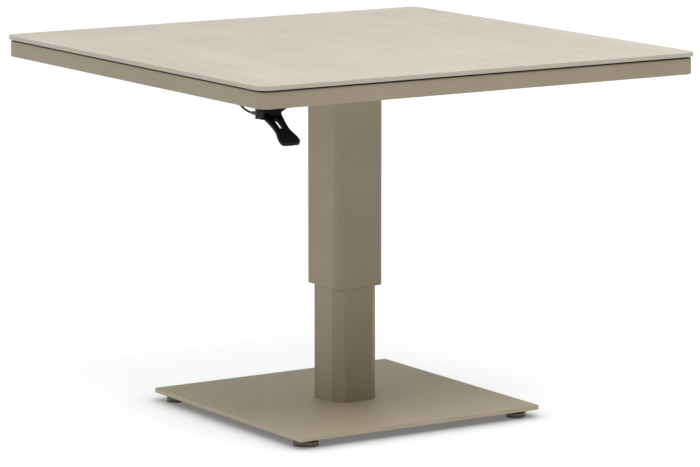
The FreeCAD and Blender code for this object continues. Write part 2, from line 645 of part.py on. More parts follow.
# Base plate, the plate in the column's foot and the countersunk bolts between them
def make_base():
    bolt_spots = [(f"{along} * BaseBoltOffset", f"{across} * BaseBoltOffset")
                  for along in SIGNS for across in SIGNS]
    foot_spots = [(f"{along} * FootOffset", f"{across} * FootOffset")
                  for along in SIGNS for across in SIGNS]
    plate = rounded_plate("BaseSide", "BaseSide", "BaseThick", "BaseCornerRadius")
    round_edges(plate, lambda edge: not upright(edge), "BaseEdgeRadius")
    stand(plate, z="FootHeight")
    wide = "CountersinkDiameter + 2 * ThreadClear"
    narrow = "BoltDiameter + 2 * ThreadClear"
    cuts = [cone(x, y, "FootHeight", wide, narrow, "CountersinkDepth") for x, y in bolt_spots]
    cuts += [cylinder(x, y, "FootHeight", narrow, "BaseThick + Overrun") for x, y in bolt_spots]
    cuts += [cylinder(x, y, "FootHeight - Overrun", "StudDiameter + 2 * ThreadClear",
                      "Overrun + StudHoleDepth") for x, y in foot_spots]
    node("base_plate", cut(plate, *cuts))

    bolts = []
    for x, y in bolt_spots:
        head = cone(x, y, "FootHeight", "CountersinkDiameter", "BoltDiameter", "CountersinkDepth")
        shank = cylinder(x, y, "FootHeight + CountersinkDepth", "BoltDiameter",
                         "BaseBoltLength - CountersinkDepth")
        bolts.append(fuse(head, shank))
    node("base_bolts", group(bolts))

    inside = octagon("InnerAcross - 2 * (InnerWall + FitClear)",
                     "InnerChamfer - OctagonShift * (InnerWall + FitClear)")
    foot_plate = prism("XY_Plane", [inside], "FootPlateThick")
    stand(foot_plate, z="BaseTop")
    threads = [cylinder(x, y, "BaseTop - Overrun", narrow, "FootPlateThick + 2 * Overrun")
               for x, y in bolt_spots]
    threads.append(cylinder("0", "0", "BaseTop - Overrun", "SpringStudDiameter + 2 * ThreadClear",
                            "FootPlateThick + 2 * Overrun"))
    node("column_foot_plate", cut(foot_plate, *threads))

    bosses = [cut(cylinder(x, y, "FootHeight - BossLength", "BossDiameter", "BossLength"),
                  cylinder(x, y, "FootHeight - BossLength - Overrun", "StudDiameter + 2 * ThreadClear",
                           "BossLength + 2 * Overrun")) for x, y in foot_spots]
    node("foot_bosses", group(bosses))


# Levelling feet: a plastic pad moulded round the head of a threaded stud
def make_feet():
    socket_floor = "FootPadFloor - StudHeadThick"
    for name, degrees, across, along in CORNERS:
        x = f"{across} * FootOffset"
        y = f"{along} * FootOffset"
        oval = rounded_plate("FootPadLength", "FootPadWidth", "FootPadHeight",
                             f"{FOOT_END_SHARE} * FootPadWidth")
        round_edges(oval, lambda edge: not upright(edge), "FootPadEdgeRadius")
        recess = cylinder("0", "0", "FootPadFloor", "FootPadRecessDiameter", "FootPadHeight")
        socket = cylinder("0", "0", socket_floor, "StudHeadDiameter + 2 * FitClear", "FootPadHeight")
        pad = turned(cut(oval, recess, socket), degrees - number("FootTurn"))
        stand(pad, x, y)
        node(f"foot_pad_{name}", pad)
        head = cylinder(x, y, socket_floor, "StudHeadDiameter", "StudHeadThick")
        shank = cylinder(x, y, "FootPadFloor", "StudDiameter", "StudLength")
        node(f"foot_stud_{name}", fuse(head, shank))


# Lockable gas spring inside the columns
def make_gas_spring():
    shell = cylinder("0", "0", "SpringBottom", "CylinderDiameter", "CylinderLength")
    bore = cylinder("0", "0", "SpringBottom + CylinderFloor", "CylinderBore", "CylinderLength")
    stud = cylinder("0", "0", "BaseTop + SpringStudGap", "SpringStudDiameter",
                    "SpringBottom - BaseTop - SpringStudGap")
    node("gas_spring_cylinder", fuse(cut(shell, bore), stud))
    node("spring_lock_nut", lock_nut("FootPlateTop", "SpringStudDiameter"))
    plug = cylinder("0", "0", "SpringTop - GuideLength", "CylinderBore - 2 * FitClear", "GuideLength")
    lip = cylinder("0", "0", "SpringTop", "CylinderDiameter", "GuideLip")
    rod_bore = cylinder("0", "0", "SpringTop - GuideLength - Overrun", "RodDiameter + 2 * FitClear",
                        "GuideLength + GuideLip + 2 * Overrun")
    node("rod_guide", cut(fuse(plug, lip), rod_bore))
    piston_low = "PistonTop - PistonHeight"
    rod = cylinder("0", "0", piston_low, "RodDiameter", f"RodTop - ({piston_low})")
    pin_low = "ValvePinTop - ValvePinLength"
    pin_bore = cylinder("0", "0", f"{pin_low} - ValvePinRoom", "ValvePinDiameter + 2 * FitClear",
                        "ValvePinLength + ValvePinRoom + Overrun")
    node("gas_spring_rod", cut(rod, pin_bore))
    ring = cylinder("0", "0", piston_low, "CylinderBore - 2 * FitClear", "PistonHeight")
    ring_bore = cylinder("0", "0", f"{piston_low} - Overrun", "RodDiameter + 2 * FitClear",
                         "PistonHeight + 2 * Overrun")
    node("gas_spring_piston", cut(ring, ring_bore))
    node("rod_lock_nut", lock_nut("HeadPlateBottom - LockNutHeight", "RodDiameter"))
    node("valve_pin", cylinder("0", "0", pin_low, "ValvePinDiameter", "ValvePinLength"))


def lock_nut(low, thread):
    nut = hexagon("0", "0", low, "LockNutAcrossFlats", "LockNutHeight")
    bore = cylinder("0", "0", f"{low} - Overrun", f"{thread} + 2 * ThreadClear",
                    "LockNutHeight + 2 * Overrun")
    return cut(nut, bore)


# Bracket on the head plate whose arm pushes the gas spring's release pin
def make_release():
    back = "-ReleaseStopReach"
    base = box(back, "-ReleaseBaseWidth / 2", "RailBottom",
               "ReleaseBaseLength", "ReleaseBaseWidth", "ReleaseBaseThick")
    stop = box(back, "-ReleaseStopWidth / 2", "RailBottom",
               "ReleaseStopThick", "ReleaseStopWidth", "ReleaseBaseThick + ReleaseStopHeight")
    ear_middle = "(ArmWidth / 2 + CheekClear + ReleaseEarThick / 2)"
    ears = [middle_box("ArmPivotReach", f"{sign} * {ear_middle}", "RailBottom", "ReleaseEarLength",
                       "ReleaseEarThick", "ReleaseBaseThick + ReleaseEarHeight") for sign in SIGNS]
    pin_length = "(ArmWidth + 2 * (CheekClear + ReleaseEarThick + ArmPinTail))"
    pin = ("ArmPivotReach", f"-{pin_length} / 2", "ArmPivotLevel")
    spots = [("-ReleaseScrewBack", f"{sign} * ReleaseScrewOffset") for sign in SIGNS]
    holes = [cylinder("0", "0", "RailBottom - Overrun", "RodDiameter + 2 * ThreadClear",
                      "ReleaseBaseThick + 2 * Overrun"),
             cylinder(*pin, "ArmPinDiameter + 2 * FitClear", pin_length, "y"),
             cylinder(f"{back} - Overrun", "0", "HeadWireLevel", "WireBore",
                      "ReleaseStopThick + 2 * Overrun", "x")]
    holes += [cylinder(x, y, "RailBottom - Overrun", "ReleaseScrewDiameter + 2 * ThreadClear",
                       "ReleaseBaseThick + 2 * Overrun") for x, y in spots]
    node("release_bracket", cut(fuse(base, stop, *ears), *holes))
    screws = []
    for x, y in spots:
        head = cylinder(x, y, "ReleaseFloor", "ReleaseScrewHead", "ReleaseScrewHeadHeight")
        shank = cylinder(x, y, "HeadPlateBottom", "ReleaseScrewDiameter", "ReleaseFloor - HeadPlateBottom")
        screws.append(fuse(head, shank))
    node("release_screws", group(screws))
    node("release_arm_pin", cylinder(*pin, "ArmPinDiameter", pin_length, "y"))

    side = "-ArmWidth / 2"
    hub = cylinder("ArmPivotReach", side, "ArmPivotLevel", "2 * ArmHubRadius", "ArmWidth", "y")
    fork = middle_box("ArmPivotReach", "0", "ArmPivotLevel", "ArmForkThick", "ArmWidth", "ArmForkHeight")
    nose = box("0", side, "ValvePinTop + ArmNoseGap", "ArmPivotReach", "ArmWidth", "ArmNoseThick")
    pin_hole = cylinder(*pin, "ArmPinDiameter + 2 * FitClear", pin_length, "y")
    pocket = cylinder("HeadWireX", pin[1], "HeadWireLevel", "HeadNippleDiameter + 2 * NippleClear",
                      pin_length, "y")
    slot = box("HeadWireX - ArmForkThick - Overrun", "-WireBore / 2", "HeadWireLevel - WireBore / 2",
               "ArmForkThick + Overrun", "WireBore", "ArmForkHeight")
    node("release_arm", cut(fuse(hub, fork, nose), pin_hole, pocket, slot))

    nipple_length = "(ArmWidth - 2 * RunningClear)"
    nipple = cylinder("HeadWireX", f"-{nipple_length} / 2", "HeadWireLevel", "HeadNippleDiameter",
                      nipple_length, "y")
    wire = cylinder("HeadWireX - HeadWireLength", "0", "HeadWireLevel", "WireDiameter",
                    "HeadWireLength", "x")
    node("head_wire", fuse(nipple, wire))


# Lever bracket screwed under the front rail, with its pin and screws
def make_lever_bracket():
    flange = box("LeverX - CheekOuter", "LeverY - CheekFront", "RailBottom - CheekThick",
                 "2 * CheekOuter", "CheekFront + CheekBack", "CheekThick")
    heel = ("CheekBack", "-LeftCheekDrop")
    left_outline = [("CheekBack", "PivotDrop"), heel, ("-LeftCheekFront", "-LeftCheekDrop"),
                    ("-LeftCheekFront", "0"), ("-CheekFront", "RightCheekRise"),
                    ("-CheekFront", "PivotDrop")]
    right_outline = [("CheekBack", "PivotDrop"), ("CheekBack", "-RightCheekDrop"),
                     ("0", "-RightCheekDrop"), ("-CheekFront", "RightCheekRise"),
                     ("-CheekFront", "PivotDrop")]
    left = prism("YZ_Plane", [left_outline], "CheekThick")
    round_edges(left, sideways_at([heel]), "LeftCheekRadius")
    stand(left, "LeverX - CheekOuter", "LeverY", "PivotLevel")
    right = prism("YZ_Plane", [right_outline], "CheekThick")
    stand(right, "LeverX + CheekInner", "LeverY", "PivotLevel")
    lug = box("LeverX - CheekOuter", "LugBack - LugThick", "LeverWireLevel - LugRise / 2",
              "CheekOuter - LeverWireOffset + LugWidth / 2", "LugThick", "LugRise")
    spots = [f"LeverX + {sign} * BracketScrewOffset" for sign in SIGNS]
    holes = [cylinder(x, "-EdgeRailOffset", "RailBottom - CheekThick - Overrun",
                      "BracketScrewDiameter + 2 * ThreadClear", "CheekThick + 2 * Overrun") for x in spots]
    holes.append(cylinder("LeverX - CheekOuter - Overrun", "LeverY", "PivotLevel",
                          "PivotPinDiameter + 2 * FitClear", "2 * (CheekOuter + Overrun)", "x"))
    holes.append(cylinder("LeverWireX", "LugBack - LugThick - Overrun", "LeverWireLevel",
                          "AdjusterDiameter + 2 * ThreadClear", "LugThick + 2 * Overrun", "y"))
    node("lever_bracket", cut(fuse(flange, left, right, lug), *holes))
    screws = []
    for x in spots:
        seat = "RailBottom - CheekThick"
        head = cylinder(x, "-EdgeRailOffset", f"{seat} - BracketScrewHeadHeight",
                        "BracketScrewHead", "BracketScrewHeadHeight")
        shank = cylinder(x, "-EdgeRailOffset", seat, "BracketScrewDiameter",
                         "CheekThick + RailWall + BracketScrewTail")
        screws.append(fuse(head, shank))
    node("lever_bracket_screws", group(screws))
    pin_head = cylinder("LeverX - CheekOuter - PivotPinHeadThick", "LeverY", "PivotLevel",
                        "PivotPinHead", "PivotPinHeadThick", "x")
    pin = cylinder("LeverX - CheekOuter", "LeverY", "PivotLevel", "PivotPinDiameter",
                   "2 * CheekOuter + PivotPinTail", "x")
    node("lever_pivot_pin", fuse(pin_head, pin))
    ring_place = "LeverX + CheekOuter + ClipGap"
    ring = cylinder(ring_place, "LeverY", "PivotLevel", "ClipDiameter", "ClipThick", "x")
    ring_bore = cylinder(f"{ring_place} - Overrun", "LeverY", "PivotLevel",
                         "PivotPinDiameter + 2 * FitClear", "ClipThick + 2 * Overrun", "x")
    node("pivot_retaining_ring", cut(ring, ring_bore))


# Paddle lever: its side profile and its plan outline meet in one solid with a round hub
def make_lever():
    bend = f"-{PADDLE_BEND_SHARE} * LeverReach"
    under_root, under_bend = PADDLE_UNDER_SHARES
    over_root, over_bend = PADDLE_OVER_SHARES
    profile = [("LeverWebHalf", "0"), ("LeverWebHalf", "-LeverHeelDrop"),
               ("-LeverWebHalf", f"-{under_root} * LeverDrop"), (bend, f"-{under_bend} * LeverDrop"),
               ("-LeverReach", "-LeverDrop"), ("-LeverReach", "LeverTipThick - LeverDrop"),
               (bend, f"-{over_bend} * LeverDrop"), ("-LeverWebHalf", f"-{over_root} * LeverDrop"),
               ("-LeverWebHalf", "0")]
    side = prism("YZ_Plane", [profile], "2 * LeverWidth")
    stand(side, "LeverX - LeverWidth", "LeverY", "PivotLevel")
    waist, waist_way = PADDLE_WAIST_SHARES
    flare, flare_way = PADDLE_FLARE_SHARES
    right = [("LeverWidth / 2", "LeverHubRadius"), (f"{waist} * LeverWidth", f"-{waist_way} * LeverReach"),
             (f"{flare} * LeverWidth", f"-{flare_way} * LeverReach"),
             (f"{PADDLE_END_SHARE} * LeverWidth", "-LeverReach")]
    left = [(f"-{across}", along) for across, along in right]
    plan = prism("XY_Plane", [right + left[::-1]], "LeverDrop + LeverHubRadius + Overrun")
    round_edges(plan, upright_at([right[1], left[1]]), "LeverNeckRadius")
    round_edges(plan, upright_at([right[2], left[2], right[3], left[3]]), "LeverCornerRadius")
    stand(plan, "LeverX", "LeverY", "PivotLevel - LeverDrop - Overrun")
    hub = cylinder("LeverX - LeverWidth / 2", "LeverY", "PivotLevel", "2 * LeverHubRadius",
                   "LeverWidth", "x")
    pin_hole = cylinder("LeverX - LeverWidth / 2 - Overrun", "LeverY", "PivotLevel",
                        "PivotPinDiameter + 2 * FitClear", "LeverWidth + 2 * Overrun", "x")
    low = "PivotLevel - LeverDrop - Overrun"
    deep = "LeverDrop + 2 * Overrun"
    near = "LeverY - WindowStart - WindowWidth / 2"
    far = "LeverY - WindowStart - WindowLength + WindowWidth / 2"
    window = (box("LeverX - WindowWidth / 2", far, low, "WindowWidth", "WindowLength - WindowWidth", deep),
              cylinder("LeverX", near, low, "WindowWidth", deep),
              cylinder("LeverX", far, low, "WindowWidth", deep))
    pocket_right = "LeverWireX + LeverNippleLength / 2 + NippleClear"
    pocket_left = "LeverX - LeverWidth / 2 - Overrun"
    pocket = cylinder(pocket_left, "LeverWireY", "LeverWireLevel", "LeverNippleDiameter + 2 * NippleClear",
                      f"{pocket_right} - ({pocket_left})", "x")
    slot = box("LeverWireX - WireBore / 2", "LeverWireY", "LeverWireLevel - WireBore / 2", "WireBore",
               "LeverY + LeverHubRadius + Overrun - LeverWireY", "WireSlotRise")
    node("lever_paddle", cut(fuse(common(side, plan), hub), pin_hole, pocket, slot, *window))
    nipple = cylinder("LeverWireX - LeverNippleLength / 2", "LeverWireY", "LeverWireLevel",
                      "LeverNippleDiameter", "LeverNippleLength", "x")
    wire = cylinder("LeverWireX", "LeverWireY", "LeverWireLevel", "WireDiameter", "LeverWireLength", "y")
    node("lever_wire", fuse(nipple, wire))


# Cable sheath from the lever to the release bracket, with its adjuster, ferrule and clip
def make_cable():
    barrel_front = "LugBack - LugThick - AdjusterFront"
    barrel_back = "LugBack + AdjusterBack"
    line = ("LeverWireX", "LeverWireLevel")
    barrel = cylinder(line[0], barrel_front, line[1], "AdjusterDiameter",
                      f"{barrel_back} - ({barrel_front})", "y")
    head = cylinder(line[0], f"{barrel_back} - AdjusterHeadLength", line[1], "AdjusterHeadDiameter",
                    "AdjusterHeadLength", "y")
    sheath_bore = cylinder(line[0], "CableStart", line[1], "CableDiameter + 2 * FitClear",
                           "AdjusterBack", "y")
    wire_bore = cylinder(line[0], f"{barrel_front} - Overrun", line[1], "WireBore",
                         "AdjusterFront + LugThick + AdjusterBack", "y")
    node("cable_adjuster", cut(fuse(barrel, head), sheath_bore, wire_bore))
    nut = hexagon(line[0], "LugBack", line[1], "AdjusterNutAcrossFlats", "AdjusterNutHeight", "y")
    nut_bore = cylinder(line[0], "LugBack - Overrun", line[1], "AdjusterDiameter + 2 * ThreadClear",
                        "AdjusterNutHeight + 2 * Overrun", "y")
    node("adjuster_nut", cut(nut, nut_bore))

    ferrule = cylinder("FerruleFace", "0", "HeadWireLevel", "FerruleDiameter", "FerruleLength", "x")
    seat = cylinder("FerruleFace - Overrun", "0", "HeadWireLevel", "CableDiameter + 2 * FitClear",
                    "Overrun + FerruleLength - FerruleFloor", "x")
    exit_hole = cylinder("FerruleFace - Overrun", "0", "HeadWireLevel", "WireBore",
                         "FerruleLength + 2 * Overrun", "x")
    node("cable_ferrule", cut(ferrule, seat, exit_hole))

    clip = middle_box("0", "0", "-CableDiameter / 2 - CableClipWall", "CableClipLength", "CableClipWidth",
                      "CableDiameter / 2 + CableClipWall + CableClipDrop")
    clip_bore = cylinder("-CableClipLength / 2 - Overrun", "0", "0", "CableDiameter + 2 * FitClear",
                         "CableClipLength + 2 * Overrun", "x")
    saddle = turned(cut(clip, clip_bore), number("CableClipTurn"))
    stand(saddle, "CableClipX", "CableClipY", "CableClipLevel")
    node("cable_clip", saddle)

    path = soft_path(cable_route())
    sheath = doc.addObject("Part::Feature", "Sheath")
    discs = [Part.Wire(Part.makeCircle(number(size) / 2, path.Vertexes[0].Point, Vector(0, 1, 0)))
             for size in ("CableDiameter", "WireBore")]
    outside, bore = [path.makePipe(Part.Face(disc)) for disc in discs]
    sheath.Shape = outside.cut(bore)
    section = math.pi * (number("CableDiameter") ** 2 - number("WireBore") ** 2) / 4
    print("cable volume by section and length", round(section * path.Length), round(sheath.Shape.Volume))
    node("cable_sheath", sheath)


def cable_route():
    """Corner points of the cable: two straight ends, the run through the clip and a point between."""
    start = Vector(number("LeverWireX"), number("CableStart"), number("LeverWireLevel"))
    lead_out = start + Vector(0, number("CableLeadOut"), 0)
    turn = math.radians(number("CableClipTurn"))
    half_run = Vector(math.cos(turn), math.sin(turn), 0) * (number("CableClipRun") / 2)
    clip = Vector(number("CableClipX"), number("CableClipY"), number("CableClipLevel"))
    lead_in = Vector(number("FerruleFace - CableLeadIn"), 0, number("HeadWireLevel"))
    end = Vector(number("FerruleFace + FerruleLength - FerruleFloor"), 0, number("HeadWireLevel"))
    rise = between(lead_out, clip - half_run, CABLE_RISE_SHARES)
    entry = between(clip + half_run, lead_in, CABLE_ENTRY_SHARES)
    return [start, lead_out, rise, clip - half_run, clip + half_run, entry, lead_in, end]


def between(first, last, shares):
    """A point at its own share of the way along each axis."""
    return Vector(*(a + (b - a) * share for a, b, share in zip(first, last, shares)))


def soft_path(points):
    """Straight runs joined by tangent arcs, each as large as its two runs allow."""
    edges = []
    last = points[0]
    for before, here, after in zip(points, points[1:], points[2:]):
        back = (before - here).normalize()
        ahead = (after - here).normalize()
        reach = CABLE_ARC_SHARE * min((before - here).Length, (after - here).Length)
        half_turn = (math.pi - back.getAngle(ahead)) / 2
        radius = reach / math.tan(half_turn)
        first = here + back * reach
        second = here + ahead * reach
        inward = (back + ahead).normalize()
        middle = here + inward * (math.hypot(radius, reach) - radius)
        edges.append(Part.LineSegment(last, first).toShape())
        edges.append(Part.Arc(first, middle, second).toShape())
        print("cable bend radius", round(radius))
        last = second
    edges.append(Part.LineSegment(last, points[-1]).toShape())
    return Part.Wire(edges)


def write_nodes():
    """Check every object, then write each finished piece."""
    doc.recompute()
    for piece in doc.Objects:
        if "Invalid" in piece.State or "Error" in piece.State:
            raise ValueError(f"{piece.Name} ({piece.Label}) failed: {piece.State}")
    for piece in nodes:
        if piece.Shape.isNull() or not piece.Shape.isValid() or not piece.Shape.Solids:
            raise ValueError(f"{piece.Label} has no valid shape")
    os.makedirs("parts", exist_ok=True)
    for piece in nodes:
        piece.Shape.exportStep(f"parts/{piece.Label}.step")
    print(len(nodes), "nodes written")


fill(sizes, SIZES, "")
fill(angles, ANGLES, "")
fill(levels, LEVELS, "=")
make_top()
make_apron()
make_frame_rails()
make_head()
make_columns()
make_base()
make_feet()
make_gas_spring()
make_release()
make_lever_bracket()
make_lever()
make_cable()
write_nodes()
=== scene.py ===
# %% [markdown]
# # Telescoping pedestal table
#
# A square outdoor table: a thin ceramic slab on a powder-coated frame, a square column that slides over an
# eight-sided one, a flat base on levelling feet, and a paddle lever that unlocks the gas spring inside.
# The CAD model is loaded as a fixed frame. Each step below takes one group of its parts and gives it the
# shape and the finish that the eye meets on the real table.

# %% Load the CAD frame
import json
import math
import bmesh
import bpy
from mathutils import Matrix, Vector


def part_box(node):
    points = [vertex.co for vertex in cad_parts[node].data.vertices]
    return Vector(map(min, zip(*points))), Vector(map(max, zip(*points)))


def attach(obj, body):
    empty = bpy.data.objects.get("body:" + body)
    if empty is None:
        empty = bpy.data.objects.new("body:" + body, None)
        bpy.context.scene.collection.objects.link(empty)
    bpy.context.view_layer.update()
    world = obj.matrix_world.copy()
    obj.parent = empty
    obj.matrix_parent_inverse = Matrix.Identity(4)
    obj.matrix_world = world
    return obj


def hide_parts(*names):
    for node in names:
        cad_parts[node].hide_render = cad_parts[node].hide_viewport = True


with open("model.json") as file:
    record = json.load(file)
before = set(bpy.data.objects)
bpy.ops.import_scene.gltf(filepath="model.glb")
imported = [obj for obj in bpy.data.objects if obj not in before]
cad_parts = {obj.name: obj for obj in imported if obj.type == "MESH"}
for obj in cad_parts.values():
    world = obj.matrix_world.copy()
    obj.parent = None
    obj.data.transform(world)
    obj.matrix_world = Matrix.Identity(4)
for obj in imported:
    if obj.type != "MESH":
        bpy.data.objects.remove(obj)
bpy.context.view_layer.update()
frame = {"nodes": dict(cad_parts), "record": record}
MM = 0.001
SLOT_OF = {part["node"]: part["material_slot"] for part in frame["record"]["subparts"]}
BODY_OF = {node: body for body, nodes in frame["record"]["behaviour"]["bodies"].items() for node in nodes}

# %% [markdown]
# ## Camera
#
# The picture was taken from well back with a long lens, a little above the table top and off one corner.
# The place and the lens were solved from the edges of the slab, the column and the base, so the table
# fills the frame as it does in the picture.

# %% Camera
CAMERA_PLACE = (-3.690342, -5.773613, 1.465334)
CAMERA_YAW, CAMERA_PITCH = 32.665, 9.468
SENSOR_WIDTH, LENS = 36, 197.651
scene = bpy.context.scene
camera = bpy.data.objects.new("camera", bpy.data.cameras.new("camera"))
camera.data.sensor_width = SENSOR_WIDTH
camera.data.lens = LENS
camera.location = CAMERA_PLACE
camera.rotation_euler = (math.radians(90 - CAMERA_PITCH), 0, math.radians(-CAMERA_YAW))
scene.collection.objects.link(camera)
scene.camera = camera
print("camera lens in mm", camera.data.lens)

# %% [markdown]
# ## Nodes and colours
#
# Every finish and every repeated detail is a small node tree. One function adds a node, sets it and links it.
# Another turns a colour as seen on a screen into the linear light that the shader works in.


# %% Node and colour helpers
def linear(code):
    """Linear colour of an sRGB hex value."""
    parts = [int(code[start:start + 2], 16) / 255 for start in (1, 3, 5)]
    light = [part / 12.92 if part <= 0.04045 else ((part + 0.055) / 1.055) ** 2.4 for part in parts]
    return (*light, 1)


def add(tree, kind, inputs=(), **settings):
    """Add a node, set its properties, and fill or link its inputs."""
    made = tree.nodes.new(kind)
    for name, value in settings.items():
        setattr(made, name, value)
    for socket, value in dict(inputs).items():
        if isinstance(value, bpy.types.NodeSocket):
            tree.links.new(value, made.inputs[socket])
        else:
            made.inputs[socket].default_value = value
    return made


def finish_tree(name):
    """A new material with an empty surface shader, and the place on the piece that its patterns read."""
    material = bpy.data.materials.new(name)
    material.use_nodes = True
    tree = material.node_tree
    tree.nodes.clear()
    surface = add(tree, "ShaderNodeBsdfPrincipled")
    add(tree, "ShaderNodeOutputMaterial", {"Surface": surface.outputs["BSDF"]})
    place = add(tree, "ShaderNodeTexCoord").outputs["Object"]
    return material, tree, surface, place


def per_size(millimetres):
    """Noise scale whose grains are about this large."""
    return 1 / (millimetres * MM)


# %% [markdown]
# ## Light and floor
#
# The picture is a plain studio shot: a bright white wall behind the table, a large soft light above it, and a
# floor so pale that only the shadow under the base shows. So the world is brightest behind the table, where
# the flat tops mirror it, and dark behind the camera, and a wide sun and a box stand for the light above.
# The floor glows, standing in for lit sweep paper, so it stays white. Close under the base the glow is
# dimmed by how open the floor is to the sky, which paints a narrow shadow there.

# %% White wall
FRONT_LIGHT, BACK_LIGHT, BACK_WAY = 0.0, 1.0, (-0.25, 0.85, 0.45)
WHITE = (1, 1, 1, 1)
scene.view_settings.view_transform = "Standard"
world = bpy.data.worlds.new("studio")
world.use_nodes = True
sky = world.node_tree
way = add(sky, "ShaderNodeTexCoord").outputs["Generated"]
facing = add(sky, "ShaderNodeVectorMath", {0: way, 1: BACK_WAY}, operation="DOT_PRODUCT")
level = add(sky, "ShaderNodeMapRange", {"Value": facing.outputs["Value"], "From Min": -1.0, "From Max": 1.0,
                                       "To Min": FRONT_LIGHT, "To Max": BACK_LIGHT})
sky.nodes["Background"].inputs["Color"].default_value = WHITE
sky.links.new(level.outputs["Result"], sky.nodes["Background"].inputs["Strength"])
scene.world = world
print("world", world.name, "with light from", FRONT_LIGHT, "to", BACK_LIGHT)

# %% Light above
SUN_WAY, SUN_LIGHT, SUN_SPREAD = (-0.12, -0.46, 1), 1.5, 30
BOX_PLACE, BOX_SIZE, BOX_LIGHT = (0.3, -0.95, 1.8), 1.0, 5
sun = bpy.data.objects.new("overhead_silk", bpy.data.lights.new("overhead_silk", "SUN"))
sun.data.energy = SUN_LIGHT
sun.data.angle = math.radians(SUN_SPREAD)
sun.rotation_euler = Vector(SUN_WAY).to_track_quat("Z", "Y").to_euler()
scene.collection.objects.link(sun)
box = bpy.data.objects.new("overhead_box", bpy.data.lights.new("overhead_box", "AREA"))
box.data.energy = BOX_LIGHT
box.data.size = BOX_SIZE
box.location = BOX_PLACE
scene.collection.objects.link(box)
print("lights", [light.name for light in bpy.data.lights])

# %% Floor
FLOOR_SIZE, FLOOR_GLOW, PAPER_ROUGHNESS, PAPER_SHEEN = 80, 0.76, 0.9, 0.1
SHADE_REACH, SHADE_GLOW, SHADE_POWER, SHADE_SAMPLES = 0.3, 0.15, 2.2, 16
# Dull paper with hardly a highlight; its own colour is a mid grey, and the glow brings it up to white
floor_finish, floor_tree, floor_surface, _ = finish_tree("white_sweep_paper")
floor_surface.inputs["Base Color"].default_value = linear("#959697")
floor_surface.inputs["Roughness"].default_value = PAPER_ROUGHNESS
floor_surface.inputs["Specular IOR Level"].default_value = PAPER_SHEEN
floor_surface.inputs["Emission Color"].default_value = WHITE
# Under the base the glow follows how open the floor is to the sky: a painted contact shadow
open_sky = add(floor_tree, "ShaderNodeAmbientOcclusion", {"Distance": SHADE_REACH}, samples=SHADE_SAMPLES)
soft = add(floor_tree, "ShaderNodeMath", {0: open_sky.outputs["AO"], 1: SHADE_POWER}, operation="POWER")
glow = add(floor_tree, "ShaderNodeMapRange",
           {"Value": soft.outputs["Value"], "To Min": SHADE_GLOW, "To Max": FLOOR_GLOW})
floor_tree.links.new(glow.outputs["Result"], floor_surface.inputs["Emission Strength"])
bpy.ops.mesh.primitive_plane_add(size=FLOOR_SIZE)
floor = bpy.context.object
floor.name = "floor"
floor.data.materials.append(floor_finish)
print("floor", FLOOR_SIZE, "m wide")

# %% [markdown]
# ## Finishes: ceramic and powder coat
#
# The slab is sintered ceramic: pale clay pressed and fired, with a soft brushed cloud printed along one
# side. Fired clay is matte, with a grain too fine to see, so its bump is drawn a little coarser. The metal
# is powder coated: baked resin with a fine even orange-peel, half matte, in one taupe. On the base plate
# a copy of that taupe is a shade paler, which is painted light.

# %% Sintered ceramic
STREAK_WIDTH, STREAK_LENGTH, CLOUD_SIZE, GRIT_SIZE, GRIT_HEIGHT = 52, 420, 190, 1.6, 0.15
FIRED_CLAY_IOR = 1.5
# Warm off-white with faint brushed streaks, dull enough that the top shows no reflections
ceramic, tree, surface, place = finish_tree("sintered_ceramic")
along, across = per_size(STREAK_LENGTH), per_size(STREAK_WIDTH)
brushed = add(tree, "ShaderNodeMapping", {"Vector": place, "Scale": (across, along, along)})
streaks = add(tree, "ShaderNodeTexNoise", {"Vector": brushed.outputs["Vector"], "Scale": 1.0, "Detail": 5.0,
                                          "Roughness": 0.6})
clouds = add(tree, "ShaderNodeTexNoise", {"Vector": place, "Scale": per_size(CLOUD_SIZE), "Detail": 3.0,
                                         "Roughness": 0.5, "Distortion": 0.6})
both = add(tree, "ShaderNodeMix", {"Factor": 0.42, "A": streaks.outputs["Fac"], "B": clouds.outputs["Fac"]})
tones = add(tree, "ShaderNodeValToRGB", {"Fac": both.outputs["Result"]})
tones.color_ramp.elements[0].position = 0.34
tones.color_ramp.elements[0].color = linear("#B8B0A3")
tones.color_ramp.elements[1].position = 0.66
tones.color_ramp.elements[1].color = linear("#C5BDB1")
grit = add(tree, "ShaderNodeTexNoise", {"Vector": place, "Scale": per_size(GRIT_SIZE), "Detail": 2.0})
speckle = add(tree, "ShaderNodeMapRange", {"Value": grit.outputs["Fac"], "From Min": 0.3, "From Max": 0.7,
                                          "To Min": 0.975, "To Max": 1.02})
toned = add(tree, "ShaderNodeMix",
            {"Factor": 1.0, "A": tones.outputs["Color"], "B": speckle.outputs["Result"]},
            data_type="RGBA", blend_type="MULTIPLY")
relief = add(tree, "ShaderNodeBump",
             {"Height": grit.outputs["Fac"], "Strength": 0.08, "Distance": GRIT_HEIGHT * MM})
dull = add(tree, "ShaderNodeMapRange", {"Value": streaks.outputs["Fac"], "To Min": 0.52, "To Max": 0.62})
tree.links.new(toned.outputs["Result"], surface.inputs["Base Color"])
tree.links.new(dull.outputs["Result"], surface.inputs["Roughness"])
tree.links.new(relief.outputs["Normal"], surface.inputs["Normal"])
surface.inputs["IOR"].default_value = FIRED_CLAY_IOR
print(ceramic.name, len(tree.nodes), "nodes")

# %% Taupe powder coat
DRIFT_SIZE, PEEL_SIZE, PEEL_HEIGHT, RESIN_IOR = 120, 1.1, 0.12, 1.5


